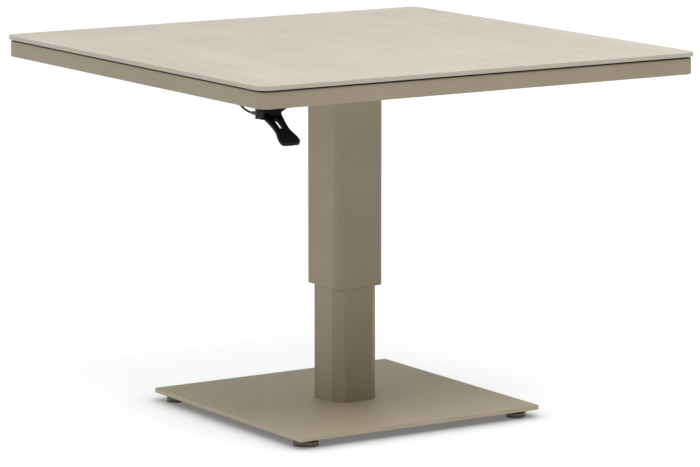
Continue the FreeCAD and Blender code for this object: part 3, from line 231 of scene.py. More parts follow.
def coated(name, low, high, dull_low, dull_high):
    """A taupe powder coat of two near tones, with the orange-peel in its bump and its flecks."""
    material, tree, surface, place = finish_tree(name)
    drift = add(tree, "ShaderNodeTexNoise", {"Vector": place, "Scale": per_size(DRIFT_SIZE), "Detail": 2.0})
    tones = add(tree, "ShaderNodeValToRGB", {"Fac": drift.outputs["Fac"]})
    tones.color_ramp.elements[0].position = 0.3
    tones.color_ramp.elements[0].color = linear(low)
    tones.color_ramp.elements[1].position = 0.7
    tones.color_ramp.elements[1].color = linear(high)
    peel = add(tree, "ShaderNodeTexNoise", {"Vector": place, "Scale": per_size(PEEL_SIZE), "Detail": 2.0,
                                           "Roughness": 0.6})
    fleck = add(tree, "ShaderNodeMapRange", {"Value": peel.outputs["Fac"], "From Min": 0.3, "From Max": 0.7,
                                            "To Min": 0.965, "To Max": 1.03})
    toned = add(tree, "ShaderNodeMix",
                {"Factor": 1.0, "A": tones.outputs["Color"], "B": fleck.outputs["Result"]},
                data_type="RGBA", blend_type="MULTIPLY")
    relief = add(tree, "ShaderNodeBump",
                 {"Height": peel.outputs["Fac"], "Strength": 0.22, "Distance": PEEL_HEIGHT * MM})
    dull = add(tree, "ShaderNodeMapRange",
               {"Value": drift.outputs["Fac"], "To Min": dull_low, "To Max": dull_high})
    tree.links.new(toned.outputs["Result"], surface.inputs["Base Color"])
    tree.links.new(dull.outputs["Result"], surface.inputs["Roughness"])
    tree.links.new(relief.outputs["Normal"], surface.inputs["Normal"])
    surface.inputs["IOR"].default_value = RESIN_IOR
    return material


# A grey brown that stays half matte, with fine flecks that break up its highlights
powder_coat = coated("taupe_powder_coat", "#948872", "#9B8F79", 0.55, 0.65)
# The same taupe on the flat base plate, a shade paler: a lit copy of the one powder coat, painted light
base_coat_painted_light = coated("taupe_coat_painted_light", "#A89C84", "#AFA38B", 0.55, 0.65)
print(powder_coat.name, "and", base_coat_painted_light.name)

# %% [markdown]
# ## Finishes: plastics, rubber and steels
#
# The lever and the feet are moulded: black glass-filled nylon with a spark-eroded grain, and a softer grey
# black rubber compound. Brackets are steel under a satin black coat. Screws and studs are zinc plated, which
# gives a pale cloudy metal, the adjuster is plated a darker grey, and the gas spring's rod is hard chrome,
# nearly a mirror.

# %% A grained finish
GRAIN_HEIGHT, GLOSS_SPREAD = 0.1, 0.05


def grained(name, low, high, size, roughness, bump, metallic=0.0, sheen=0.5):
    """A finish of two near tones in a fine grain, with the grain in its bump and its gloss."""
    material, tree, surface, place = finish_tree(name)
    grain = add(tree, "ShaderNodeTexNoise", {"Vector": place, "Scale": per_size(size), "Detail": 3.0,
                                            "Roughness": 0.55})
    tones = add(tree, "ShaderNodeValToRGB", {"Fac": grain.outputs["Fac"]})
    tones.color_ramp.elements[0].position = 0.32
    tones.color_ramp.elements[0].color = linear(low)
    tones.color_ramp.elements[1].position = 0.68
    tones.color_ramp.elements[1].color = linear(high)
    gloss = add(tree, "ShaderNodeMapRange", {"Value": grain.outputs["Fac"], "From Min": 0.3, "From Max": 0.7,
                                            "To Min": roughness - GLOSS_SPREAD,
                                            "To Max": roughness + GLOSS_SPREAD})
    relief = add(tree, "ShaderNodeBump",
                 {"Height": grain.outputs["Fac"], "Strength": bump, "Distance": GRAIN_HEIGHT * MM})
    tree.links.new(tones.outputs["Color"], surface.inputs["Base Color"])
    tree.links.new(gloss.outputs["Result"], surface.inputs["Roughness"])
    tree.links.new(relief.outputs["Normal"], surface.inputs["Normal"])
    surface.inputs["Metallic"].default_value = metallic
    surface.inputs["Specular IOR Level"].default_value = sheen
    return material


# %% Moulded, coated and plated finishes
# Two tones, size of the grain in mm, roughness, strength of the bump, and metallic or sheen where it differs

# The body under the printed face, shown only at the slab's edge: without streaks, and a shade
# darker than the top, which is painted shade
edge_clay_painted_shade = grained("bare_clay_painted_shade", "#ADA69A", "#B8B1A5", 1.6, 0.6, 0.1)
# Spark-eroded nylon grain is about 0.3 mm; it is drawn at 0.9 mm so that it shows
nylon = grained("black_glass_filled_nylon", "#030303", "#060606", 0.9, 0.65, 0.2, sheen=0.2)
# Moulded rubber, greyer than the nylon, with a soft sheen along its rim
foot_rubber = grained("grey_black_foot_rubber", "#606053", "#6E6E60", 1.2, 0.4, 0.15)
# Foam rubber, dull and nearly black in its gap
seal_rubber = grained("black_seal_rubber", "#161310", "#1E1A16", 2.0, 0.75, 0.2)
# Thin satin paint on steel sheet, a little lighter than the plastics
black_coat = grained("satin_black_coat", "#08080A", "#0E0E10", 1.4, 0.5, 0.15, sheen=0.13)
# Smooth extruded plastic with a long soft highlight
cable_skin = grained("black_cable_skin", "#0A0A0B", "#121213", 3.0, 0.4, 0.1)
# Pale cloudy metal, blurred highlights
zinc = grained("zinc_plated_steel", "#A9ABAA", "#C4C5C2", 2.4, 0.34, 0.08, 1.0)
# Grey passivated plating, darker than the zinc, with hardly any colour
grey_zinc = grained("grey_zinc_plated_steel", "#6A6C6E", "#7E8082", 2.4, 0.4, 0.08, 1.0)
# Bright polished metal, sharp highlights
chrome = grained("hard_chromed_steel", "#D3D4D6", "#E2E3E5", 6.0, 0.12, 0.02, 1.0)
print("finishes", sorted(material.name for material in bpy.data.materials))

# %% [markdown]
# ## Making a skin from loops
#
# Most parts of this table are plates, tubes and turned pieces: one outline that is shrunk, raised or carried
# along a path. So one function stretches a skin of quads over a row of loops. The outlines have round
# corners, and beside every arc there is a holding point a hair away on the flat, so that smooth shading stays
# flat there.

# %% Objects and skins
SMOOTH_ANGLE = 34


def link(name, mesh, *finishes):
    """A new object for a mesh, smooth up to its real edges, with its finishes."""
    piece = bpy.data.objects.new(name, mesh)
    scene.collection.objects.link(piece)
    for material in finishes:
        mesh.materials.append(material)
    mesh.shade_smooth()
    mesh.set_sharp_from_angle(angle=math.radians(SMOOTH_ANGLE))
    return piece


def as_mesh(work, name):
    """A mesh from a bmesh, its faces turned outwards."""
    bmesh.ops.recalc_face_normals(work, faces=work.faces)
    mesh = bpy.data.meshes.new(name)
    work.to_mesh(mesh)
    work.free()
    return mesh


def skin(loops, closed=False):
    """A mesh of quads between loops of equal length, capped at both ends or closed on itself."""
    work = bmesh.new()
    rings = [[work.verts.new(point) for point in loop] for loop in loops]
    pairs = list(zip(rings, rings[1:]))
    if closed:
        pairs.append((rings[-1], rings[0]))
    else:
        work.faces.new(rings[0][::-1])
        work.faces.new(rings[-1])
    for low, high in pairs:
        for here in range(len(low)):
            after = (here + 1) % len(low)
            work.faces.new((low[here], low[after], high[after], high[here]))
    return as_mesh(work, "skin")


# %% Outlines and plates
def filleted(corners, radii, steps, hold):
    """Points and outward directions round a polygon with rounded corners, all in mm."""
    outline = []
    for index, corner in enumerate(corners):
        radius = radii[index] if isinstance(radii, tuple) else radii
        here = Vector(corner)
        coming = (here - Vector(corners[index - 1])).normalized()
        going = (Vector(corners[(index + 1) % len(corners)]) - here).normalized()
        turn = coming.angle(going)
        out_first = Vector((coming.y, -coming.x))
        middle = here - coming * radius * math.tan(turn / 2) - out_first * radius
        outline.append((middle + out_first * radius - coming * hold, out_first))
        for step in range(steps + 1):
            angle = turn * step / steps
            out = out_first * math.cos(angle) + coming * math.sin(angle)
            outline.append((middle + out * radius, out))
        out_last = Vector((going.y, -going.x))
        outline.append((middle + out_last * radius + going * hold, out_last))
    return outline


def loop(outline, inset, level):
    """An outline shrunk by an inset at one level, in metres."""
    return [Vector((*(point - out * inset), level)) * MM for point, out in outline]


def eased(low, high, radius, steps=4):
    """Insets and levels up the side of a plate whose two edges are rounded."""
    hold = radius / 4
    rows = [(radius + hold, low)]
    for step in range(steps + 1):
        turn = math.pi / 2 * step / steps
        rows.append((radius * (1 - math.sin(turn)), low + radius * (1 - math.cos(turn))))
    rows.append((0, low + radius + hold))
    return rows + [(inset, low + high - level) for inset, level in reversed(rows)]


def square(half_x, half_y):
    """Corners of a rectangle round the origin."""
    return [(-half_x, -half_y), (half_x, -half_y), (half_x, half_y), (-half_x, half_y)]


def plate(outline, low, high, radius):
    """A flat plate with rounded edges."""
    return skin([loop(outline, inset, level) for inset, level in eased(low, high, radius)])


# %% Places in the CAD frame
def size_of(node):
    """Lowest and highest corners of a CAD node, in mm."""
    return [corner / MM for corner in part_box(node)]


def ride_with(piece, node):
    """Let an added piece move with a CAD node."""
    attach(piece, BODY_OF[node])


def stand_for(piece, node):
    """Let a piece take the place of a CAD node."""
    ride_with(piece, node)
    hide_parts(node)


# %% [markdown]
# ## Slab
#
# The slab is eight millimetres of ceramic with its corners rounded and its edge eased so that it doesn't
# chip. A box with a bevel would do, but a skin over rounded loops keeps the big face flat in the light. The
# print covers only the top face, so the edge and the underside show the bare fired clay, which is also
# toned a shade darker than the top as painted shade.

# %% Slab
SLAB_CORNER, SLAB_EASE, PRINT_SLOPE = 22, 1, 0.5
low, high = size_of("table_top")
slab_outline = filleted(square(high.x, high.y), SLAB_CORNER, steps=14, hold=1)
slab = link("slab", plate(slab_outline, low.z, high.z, SLAB_EASE), ceramic, edge_clay_painted_shade)
# Faces that don't look up take the bare clay: unprinted, and darker as painted shade
for face in slab.data.polygons:
    face.material_index = int(face.normal.z < PRINT_SLOPE)
stand_for(slab, "table_top")
print("slab faces", len(slab.data.polygons))

# %% [markdown]
# ## Apron
#
# The apron is four tubes and four bent corners, welded, ground flush and coated, so no seam shows. Each piece
# is one rounded section carried along its own path, straight or round, and the sections meet exactly.

# %% Sections carried along a path
UP = Vector((0, 0, 1))


def carried(section, stations):
    """A bar whose section is carried along stations of a start point and a sideways direction."""
    loops = []
    for start, sideways in stations:
        loops.append([(start + sideways * point.x + UP * point.y) * MM for point, _ in section])
    return skin(loops)


def oblong(width, height):
    """Corners of a rectangle with its first corner at the origin."""
    return [(0, 0), (width, 0), (width, height), (0, height)]


# %% Apron
APRON_BEND, APRON_WIDTH, APRON_EDGE = 20, 16, 1.4
BEND_STEP, BEND_HOLD = 6, 0.2
low, high = size_of("apron_rail_front")
apron_face = -low.y
apron_section = filleted(oblong(APRON_WIDTH, high.z - low.z), APRON_EDGE, steps=4, hold=0.4)
straight = apron_face - APRON_BEND
front_stations = [(Vector((reach, -apron_face, low.z)), Vector((0, 1, 0))) for reach in (straight, -straight)]
bend_stations = []
for degrees in (0, BEND_HOLD, *range(BEND_STEP, 90, BEND_STEP), 90 - BEND_HOLD, 90):
    out = Vector((-math.cos(math.radians(degrees)), -math.sin(math.radians(degrees)), 0))
    bend_stations.append((Vector((-straight, -straight, low.z)) + out * APRON_BEND, -out))
for index, side in enumerate(("front", "right", "back", "left")):
    mesh = carried(apron_section, front_stations)
    mesh.transform(Matrix.Rotation(index * math.pi / 2, 4, "Z"))
    stand_for(link(f"apron_tube_{side}", mesh, powder_coat), f"apron_rail_{side}")
CORNERS = ("front_left", "front_right", "back_right", "back_left")
for index, corner in enumerate(CORNERS):
    mesh = carried(apron_section, bend_stations)
    mesh.transform(Matrix.Rotation(index * math.pi / 2, 4, "Z"))
    stand_for(link(f"apron_bend_{corner}", mesh, powder_coat), f"apron_corner_{corner}")
print("apron section points", len(apron_section))

# %% [markdown]
# ## Seal
#
# A dark foam strip fills the gap between apron and slab, so that water stays out and the slab seems to float.
# It is cut at the corners and pressed round the apron's bend, so each strip ends in a part of the same arc.

# %% Seal
low, high = size_of("seal_front")
seal_half, seal_width = -low.y, high.y - low.y
seal_bend = APRON_BEND - (apron_face - seal_half)
turning = math.asin(1 - seal_width / seal_bend)
middle = seal_half - seal_bend


def seal_arc(first, last, steps=6):
    """Points of the seal's bend at the right front corner, between two angles up from the front."""
    turns = [first + (last - first) * step / steps for step in range(steps + 1)]
    return [Vector((middle + seal_bend * math.sin(turn), -middle - seal_bend * math.cos(turn)))
            for turn in turns]


front_bend, side_bend = seal_arc(0, math.pi / 2 - turning), seal_arc(math.pi / 2 - turning, math.pi / 2)
front_strip = front_bend + [Vector((-point.x, point.y)) for point in reversed(front_bend)]
side_strip = side_bend + [Vector((point.x, -point.y)) for point in reversed(side_bend)]
seal_inside = seal_half - seal_width
side_strip += [Vector((seal_inside, reach)) for reach in (seal_inside, -seal_inside)]
for side, strip, turn in (("front", front_strip, 0), ("back", front_strip, math.pi),
                          ("right", side_strip, 0), ("left", side_strip, math.pi)):
    mesh = skin([[Vector((*point, level)) * MM for point in strip] for level in (low.z, high.z)])
    mesh.transform(Matrix.Rotation(turn, 4, "Z"))
    stand_for(link(f"seal_strip_{side}", mesh, seal_rubber), f"seal_{side}")
print("seal bend", round(seal_bend, 1), "mm")

# %% [markdown]
# ## Tubes under the slab
#
# Four drawn tubes run from side to side under the slab. Drawn tube has small round edges, so the same carried
# section makes them, a little rounder than the apron's. The head plate below them is cut from sheet.

# %% Tubes under the slab
RAILS = ("centre_rail_front", "centre_rail_back", "edge_rail_front", "edge_rail_back")
TUBE_EDGE = 2.2
for name in RAILS:
    low, high = size_of(name)
    tube_section = filleted(oblong(high.y - low.y, high.z - low.z), TUBE_EDGE, steps=4, hold=0.5)
    stations = [(Vector((reach, low.y, low.z)), Vector((0, 1, 0))) for reach in (high.x, low.x)]
    stand_for(link(f"{name}_tube", carried(tube_section, stations), powder_coat), name)
HEAD_CORNER, SHEET_EDGE = 8, 0.6
low, high = size_of("head_plate")
head_mesh = plate(filleted(square(high.x, high.y), HEAD_CORNER, steps=6, hold=0.5), low.z, high.z, SHEET_EDGE)
stand_for(link("head_plate_sheet", head_mesh, powder_coat), "head_plate")
print("head plate", round(high.x * 2), "by", round(high.y * 2), "mm")

# %% [markdown]
# ## Columns
#
# The outer column is a square tube with wide round corners. The inner one is the same tube with its corners
# pressed flat into eight sides, and each fold keeps a small bend radius that catches the light.


# %% Hollow tubes
def hollow(outside, inside, low, high, radius):
    """A tube with a rounded rim at both ends."""
    rows = eased(low, high, radius)
    loops = [loop(outside, inset, level) for inset, level in rows]
    loops += [loop(inside, -inset, level) for inset, level in reversed(rows)]
    return skin(loops, closed=True)


def eight_sided(across, chamfer):
    """Corners of a square with its corners cut off."""
    far, near = across / 2, across / 2 - chamfer
    return [(far, -near), (far, near), (near, far), (-near, far),
            (-far, near), (-far, -near), (-near, -far), (near, -far)]


# %% Columns
WALL, OUTER_CORNER, CHAMFER, FOLD, INSIDE_FOLD = 2, 13, 16.7, 2.2, 0.8
low, high = size_of("outer_column")
outer_half, outer_top = high.x, high.z
outer_outline = filleted(square(outer_half, outer_half), OUTER_CORNER, steps=8, hold=0.5)
inside_half = outer_half - WALL
outer_inside = filleted(square(inside_half, inside_half), OUTER_CORNER - WALL, steps=8, hold=0.5)
outer = link("outer_column_tube", hollow(outer_outline, outer_inside, low.z, high.z, SHEET_EDGE), powder_coat)
stand_for(outer, "outer_column")
low, high = size_of("inner_column")
inside_chamfer = CHAMFER - (2 - math.sqrt(2)) * WALL
inner_outline = filleted(eight_sided(2 * high.x, CHAMFER), FOLD, steps=5, hold=0.4)
inner_inside = filleted(eight_sided(2 * (high.x - WALL), inside_chamfer), INSIDE_FOLD, steps=5, hold=0.4)
inner = link("inner_column_tube", hollow(inner_outline, inner_inside, low.z, high.z, SHEET_EDGE), powder_coat)
stand_for(inner, "inner_column")
print("inner column from", round(low.z), "to", round(high.z), "mm")

# %% [markdown]
# ## Base plate
#
# The base is one thick steel plate, laser cut and coated, with its corners just broken.

# %% Base plate
BASE_CORNER = 3
low, high = size_of("base_plate")
base_mesh = plate(filleted(square(high.x, high.y), BASE_CORNER, steps=6, hold=0.5), low.z, high.z, SHEET_EDGE)
# The base takes the paler copy of the taupe, painted light on its top and edges
stand_for(link("base_sheet", base_mesh, base_coat_painted_light), "base_plate")
print("base plate", round(2 * high.x), "mm square")

# %% [markdown]
# ## Growing what repeats
#
# Ribs, screws and weld ripples are one small shape set down many times, so each has a tree of geometry nodes.
# A tree starts from a path or from points, sets its shape on them, and ends in real faces with a finish.
# Its result is kept as a plain mesh, so the pieces need no modifier afterwards.


# %% Geometry node helpers
def growth_tree(name, **inputs):
    """A geometry tree with named inputs of a socket kind each, and the outputs of its input node."""
    tree = bpy.data.node_groups.new(name, "GeometryNodeTree")
    tree.interface.new_socket("Geometry", in_out="INPUT", socket_type="NodeSocketGeometry")
    for label, kind in inputs.items():
        tree.interface.new_socket(label, in_out="INPUT", socket_type=f"NodeSocket{kind}")
    tree.interface.new_socket("Geometry", in_out="OUTPUT", socket_type="NodeSocketGeometry")
    return tree, add(tree, "NodeGroupInput").outputs


def finish_growth(tree, instances, finish):
    """End a tree: make its instances real and give them their finish."""
    real = add(tree, "GeometryNodeRealizeInstances", {"Geometry": instances})
    coated = add(tree, "GeometryNodeSetMaterial", {"Geometry": real.outputs["Geometry"], "Material": finish})
    add(tree, "NodeGroupOutput", {"Geometry": coated.outputs["Geometry"]})


def grown(tree, mesh, **values):
    """The plain mesh that a tree grows on a mesh, with its inputs set by name."""
    holder = bpy.data.objects.new("seed", mesh)
    scene.collection.objects.link(holder)
    modifier = holder.modifiers.new("growth", "NODES")
    modifier.node_group = tree
    for socket in tree.interface.items_tree:
        if socket.name in values:
            modifier[socket.identifier] = values[socket.name]
    shown = holder.evaluated_get(bpy.context.evaluated_depsgraph_get())
    made = bpy.data.meshes.new_from_object(shown)
    holder.modifiers.remove(modifier)
    bpy.data.objects.remove(holder)
    return made


def path_mesh(*paths):
    """A mesh of open or closed lines; a closed one ends where it starts."""
    mesh = bpy.data.meshes.new("path")
    points, edges = [], []
    for path in paths:
        closed = path[0] == path[-1]
        first, count = len(points), len(path) - closed
        points += path[:count]
        steps = range(count if closed else count - 1)
        edges += [(first + here, first + (here + 1) % count) for here in steps]
    mesh.from_pydata(points, edges, [])
    return mesh


# %% Tree for ribs
ribs_tree, inputs = growth_tree("ribs", Count="Int", Radius="Float", Height="Float", Finish="Material")
line = add(ribs_tree, "GeometryNodeMeshToCurve", {"Mesh": inputs["Geometry"]})
spaced = add(ribs_tree, "GeometryNodeResampleCurve",
             {"Curve": line.outputs["Curve"], "Count": inputs["Count"]})
rib = add(ribs_tree, "GeometryNodeMeshCylinder",
          {"Vertices": 6, "Radius": inputs["Radius"], "Depth": inputs["Height"]})
ribs = add(ribs_tree, "GeometryNodeInstanceOnPoints",
           {"Points": spaced.outputs["Curve"], "Instance": rib.outputs["Mesh"]})
finish_growth(ribs_tree, ribs.outputs["Instances"], inputs["Finish"])
print(ribs_tree.name, len(ribs_tree.nodes), "nodes")

# %% Tree for screws
screws_tree, inputs = growth_tree("screws", Screw="Object", Seed="Int", Finish="Material")
shape = add(screws_tree, "GeometryNodeObjectInfo", {"Object": inputs["Screw"]})
spin = add(screws_tree, "FunctionNodeRandomValue",
           {"Min": (0, 0, 0), "Max": (0, 0, math.tau), "Seed": inputs["Seed"]}, data_type="FLOAT_VECTOR")
turn = add(screws_tree, "FunctionNodeEulerToRotation", {"Euler": spin.outputs["Value"]})
screws = add(screws_tree, "GeometryNodeInstanceOnPoints",
             {"Points": inputs["Geometry"], "Instance": shape.outputs["Geometry"],
              "Rotation": turn.outputs["Rotation"]})
finish_growth(screws_tree, screws.outputs["Instances"], inputs["Finish"])
print(screws_tree.name, len(screws_tree.nodes), "nodes")

# %% Tree for welds
RIPPLE_LEAST, RIPPLE_MOST = (0.85, 0.85, 0.85), (1, 1, 1)
weld_tree, inputs = growth_tree("weld", Pitch="Float", Radius="Float", Seed="Int", Finish="Material")
line = add(weld_tree, "GeometryNodeMeshToCurve", {"Mesh": inputs["Geometry"]})
spaced = add(weld_tree, "GeometryNodeResampleCurve",
             {"Curve": line.outputs["Curve"], "Length": inputs["Pitch"]}, mode="LENGTH")
ripple = add(weld_tree, "GeometryNodeMeshUVSphere", {"Segments": 8, "Rings": 5, "Radius": inputs["Radius"]})
size = add(weld_tree, "FunctionNodeRandomValue",
           {"Min": RIPPLE_LEAST, "Max": RIPPLE_MOST, "Seed": inputs["Seed"]}, data_type="FLOAT_VECTOR")
along = add(weld_tree, "FunctionNodeAlignRotationToVector",
            {"Vector": add(weld_tree, "GeometryNodeInputTangent").outputs["Tangent"]}, axis="X")
beads = add(weld_tree, "GeometryNodeInstanceOnPoints",
            {"Points": spaced.outputs["Curve"], "Instance": ripple.outputs["Mesh"],
             "Rotation": along.outputs["Rotation"], "Scale": size.outputs["Value"]})
finish_growth(weld_tree, beads.outputs["Instances"], inputs["Finish"])
print(weld_tree.name, len(weld_tree.nodes), "nodes")

# %% [markdown]
# ## Feet
#
# Each foot is an oval moulding, black in its band under the plate and a greyer rubber tread below, with
# upright ribs round its lowest edge, so that it slides and can be gripped to level the table. The oval is one
# outline at many levels, and a tree of nodes stands the ribs along it.

# %% Feet
FOOT_HALF_LENGTH, FOOT_HALF_WIDTH, FOOT_END = 22.5, 16.5, 15.18
FOOT_RECESS, FOOT_FLOOR = 11, 4
TREAD_TOP, TREAD_INSET, RIB_TOP, RIB_HEIGHT, RIB_RADIUS, RIB_COUNT = 9.2, 0.8, 3.8, 2.8, 0.7, 72
foot_outline = filleted(square(FOOT_HALF_LENGTH, FOOT_HALF_WIDTH), FOOT_END, steps=10, hold=0.4)
low, high = size_of("foot_pad_front_left")
# Inset and level up the side of a foot: sole, ribbed tread, groove and collar
foot_rows = [(2.2, 0), (1.5, 0.2), (1.1, 0.7), (0.9, 1.2), (TREAD_INSET, RIB_TOP), (0.5, RIB_TOP + 0.1),
             (0.1, RIB_TOP + 0.5), (0, RIB_TOP + 1.1), (0, TREAD_TOP - 1.2), (0.1, TREAD_TOP - 0.5),
             (0.5, TREAD_TOP - 0.1), (0.8, TREAD_TOP), (0.8, TREAD_TOP + 0.3), (0.4, TREAD_TOP + 0.5),
             (0.3, TREAD_TOP + 0.9), (0.3, high.z - 1.2), (0.6, high.z - 0.4), (1.2, high.z)]
foot_loops = [loop(foot_outline, inset, level) for inset, level in foot_rows]
for level in (high.z, FOOT_FLOOR):
    foot_loops.append([Vector((*(point.normalized() * FOOT_RECESS), level)) * MM
                       for point, _ in foot_outline])
rib_line = loop(foot_outline, TREAD_INSET, RIB_TOP / 2)
rib_line.append(rib_line[0])
for index, corner in enumerate(CORNERS):
    node = f"foot_pad_{corner}"
    low, high = size_of(node)
    place = Matrix.Translation(Vector(((low.x + high.x) / 2, (low.y + high.y) / 2, 0)) * MM)
    place @= Matrix.Rotation((index - 0.5) * math.pi / 2, 4, "Z")
    pad = skin(foot_loops)
    # Faces above the tread take the black finish, so the band under the plate is black
    for face in pad.polygons:
        face.material_index = int(face.center.z > TREAD_TOP * MM)
    pad.transform(place)
    stand_for(link(f"foot_{corner}", pad, foot_rubber, nylon), node)
    tread = grown(ribs_tree, path_mesh(rib_line), Count=RIB_COUNT, Radius=RIB_RADIUS * MM,
                  Height=RIB_HEIGHT * MM, Finish=foot_rubber)
    tread.transform(place)
    ride_with(link(f"foot_ribs_{corner}", tread), node)
print("ribs on a foot", RIB_COUNT)

# %% [markdown]
# ## Lever
#
# The paddle lever is moulded in one: a hub on its pin, a thin waisted blade with a slot that saves material
# and cooling time, and a wide end for the fingers. The hub is a skin along the pin, with a pocket for the
# wire's end. The blade is a grid of few faces on its middle surface, thickened and smoothed, which gives a
# moulded softness.

# %% Lever hub
LEVER_MIDDLE = Vector((-369.5, -347, 615.4))
HUB_HALF, HUB_EDGE, HUB_SIDE, HUB_BACK, HUB_FRONT = 18, 0.8, 8, -13.5, -15.4
HUB_TOP_ROUND, HUB_LOW_ROUND = 7.9, 2
# The pocket from side to side, its roof, and a level below the hub where nothing is cut
POCKET_LEFT, POCKET_RIGHT, POCKET_ROOF, UNCUT = -16.6, -7.4, -6, -20
hub_corners = [(HUB_SIDE, HUB_BACK), (HUB_SIDE, HUB_SIDE), (-HUB_SIDE, HUB_SIDE), (-HUB_SIDE, HUB_FRONT)]
hub_rounds = (HUB_LOW_ROUND, HUB_TOP_ROUND, HUB_TOP_ROUND, HUB_LOW_ROUND)
hub_outline = filleted(hub_corners, hub_rounds, steps=6, hold=0.2)
hub_loops = []
for across, inset, roof in ((-HUB_HALF, HUB_EDGE, UNCUT), (HUB_EDGE - HUB_HALF, 0, UNCUT),
                            (POCKET_LEFT, 0, UNCUT), (POCKET_LEFT, 0, POCKET_ROOF),
                            (POCKET_RIGHT, 0, POCKET_ROOF), (POCKET_RIGHT, 0, UNCUT),
                            (HUB_HALF - HUB_EDGE, 0, UNCUT), (HUB_HALF, HUB_EDGE, UNCUT)):
    shrunk = [point - out * inset for point, out in hub_outline]
    hub_loops.append([(LEVER_MIDDLE + Vector((across, point.x, max(point.y, roof)))) * MM
                      for point in shrunk])
hub = link("lever_hub", skin(hub_loops), nylon)
ride_with(hub, "lever_paddle")
print("hub width", 2 * HUB_HALF, "mm")

# %% Lever blade
# Distance in front of the pivot, half width, and drop of the middle surface
BLADE_ROWS = ((-2, 17.6, -8.9), (7, 17.6, -12), (15, 16.2, -17), (22, 14.6, -21.5), (30, 13.4, -26.5),
              (37, 13.1, -31), (44, 14.2, -35.5), (52, 17.2, -40.6), (59, 18.6, -45.1), (65, 18.4, -48.9),
              (68.3, 15.6, -51.1))
BLADE_THICK, BLADE_CREASE, BLADE_LEVELS, RIM_SHARE = 6.2, 0.55, 3, 0.68
SLOT_HALF, SLOT_COLUMN, SLOT_ROWS = 3.8, 2, range(2, 5)
DISH, DISH_START, DISH_RUN = 0.8, 37, 15
work = bmesh.new()
grid = []
for ahead, half, drop in BLADE_ROWS:
    row = []
    for across in (-half, -RIM_SHARE * half, -SLOT_HALF, SLOT_HALF, RIM_SHARE * half, half):
        dish = DISH * (1 - (across / half) ** 2) * min(1, max(0, ahead - DISH_START) / DISH_RUN)
        row.append(work.verts.new((LEVER_MIDDLE + Vector((across, -ahead, drop - dish))) * MM))
    grid.append(row)
for index, (near, far) in enumerate(zip(grid, grid[1:])):
    for side in range(len(near) - 1):
        if side != SLOT_COLUMN or index not in SLOT_ROWS:
            work.faces.new((near[side], near[side + 1], far[side + 1], far[side]))
blade = link("lever_blade", as_mesh(work, "blade"), nylon)
thick = blade.modifiers.new("thickness", "SOLIDIFY")
thick.thickness = BLADE_THICK * MM
thick.offset = 0
thick.edge_crease_inner = thick.edge_crease_outer = BLADE_CREASE
smooth = blade.modifiers.new("smooth", "SUBSURF")
smooth.levels = smooth.render_levels = BLADE_LEVELS


def settle(piece):
    """Keep what a piece's modifiers make as its plain mesh."""
    shown = piece.evaluated_get(bpy.context.evaluated_depsgraph_get())
    piece.data = bpy.data.meshes.new_from_object(shown)
    piece.modifiers.clear()
    piece.data.shade_smooth()


settle(blade)
stand_for(blade, "lever_paddle")
print("blade faces", len(blade.data.polygons))

# %% [markdown]
# ## Brackets and small fittings
#
# The lever's bracket and the release gear are bent and punched sheet, and pins and nuts are turned. Their CAD
# shapes are right, but real edges are never knife sharp. So each takes a copy of its CAD mesh with the
# triangles merged and every hard edge given a small bevel, which catches a thin line of light.

# %% Softened fittings
MERGE, FLAT_ANGLE, HARD_ANGLE, BEVEL_STEPS, BEVEL_PROFILE = 0.001, 2, 35, 2, 0.6


def softened(node, finish, bevel):
    """A bevelled copy of a CAD part in place of it."""
    work = bmesh.new()
    work.from_mesh(frame["nodes"][node].data)
    bmesh.ops.remove_doubles(work, verts=work.verts, dist=MERGE * MM)
    bmesh.ops.dissolve_limit(work, angle_limit=math.radians(FLAT_ANGLE), verts=work.verts, edges=work.edges)
    hard = [edge for edge in work.edges
            if edge.is_manifold and edge.calc_face_angle() > math.radians(HARD_ANGLE)]
    bmesh.ops.bevel(work, geom=hard, offset=bevel * MM, offset_type="OFFSET", segments=BEVEL_STEPS,
                    profile=BEVEL_PROFILE, affect="EDGES", clamp_overlap=True)
    piece = link(f"{node}_edged", as_mesh(work, node), finish)
    stand_for(piece, node)
    return piece


for node, finish, bevel in (("lever_bracket", black_coat, 0.4), ("lever_pivot_pin", black_coat, 0.3),
                            ("pivot_retaining_ring", black_coat, 0.15), ("release_bracket", black_coat, 0.4),
                            ("release_arm", black_coat, 0.3), ("release_arm_pin", zinc, 0.2),
                            ("adjuster_nut", grey_zinc, 0.4), ("cable_ferrule", zinc, 0.3),
                            ("cable_clip", nylon, 0.5), ("spring_lock_nut", zinc, 0.4),
                            ("rod_lock_nut", zinc, 0.4)):
    piece = softened(node, finish, bevel)
    print(piece.name, len(piece.data.polygons), "faces")

# %% [markdown]
# ## Cable
#
# The release cable is a plastic-skinned sheath held at both ends and by one clip, so it keeps its bend. Its
# CAD sweep is made of loose triangles, so a merged copy is shaded smooth. The barrel adjuster at the lever
# has a knurled grip, so that fingers can turn it: turned rings, with the tree of the feet's ribs for knurls.

# %% Cable
work = bmesh.new()
work.from_mesh(frame["nodes"]["cable_sheath"].data)
bmesh.ops.remove_doubles(work, verts=work.verts, dist=MERGE * MM)
cable = link("cable_sheath_skin", as_mesh(work, "cable"), cable_skin)
stand_for(cable, "cable_sheath")
print("cable faces", len(cable.data.polygons))


# %% Adjuster
def ring(radius, level, flats=0, points=24):
    """A ring of points round Z: a circle, or a polygon with that many flats at that radius."""
    out = []
    for step in range(points):
        angle = math.tau * step / points
        reach = radius
        if flats:
            part = math.tau / flats
            reach = radius / math.cos((angle % part) - part / 2)
        out.append(Vector((reach * math.cos(angle), reach * math.sin(angle), level)) * MM)
    return out


BARREL, BARREL_EDGE, BORE = 3, 0.4, 2.1
GRIP, GRIP_LENGTH, GRIP_EDGE = 3.15, 9, 0.5
KNURLS, KNURL_RADIUS, KNURL_HEIGHT, KNURL_SUNK = 24, 0.35, 7.4, 0.05
low, high = size_of("cable_adjuster")
length = high.y - low.y
grip_start = length - GRIP_LENGTH
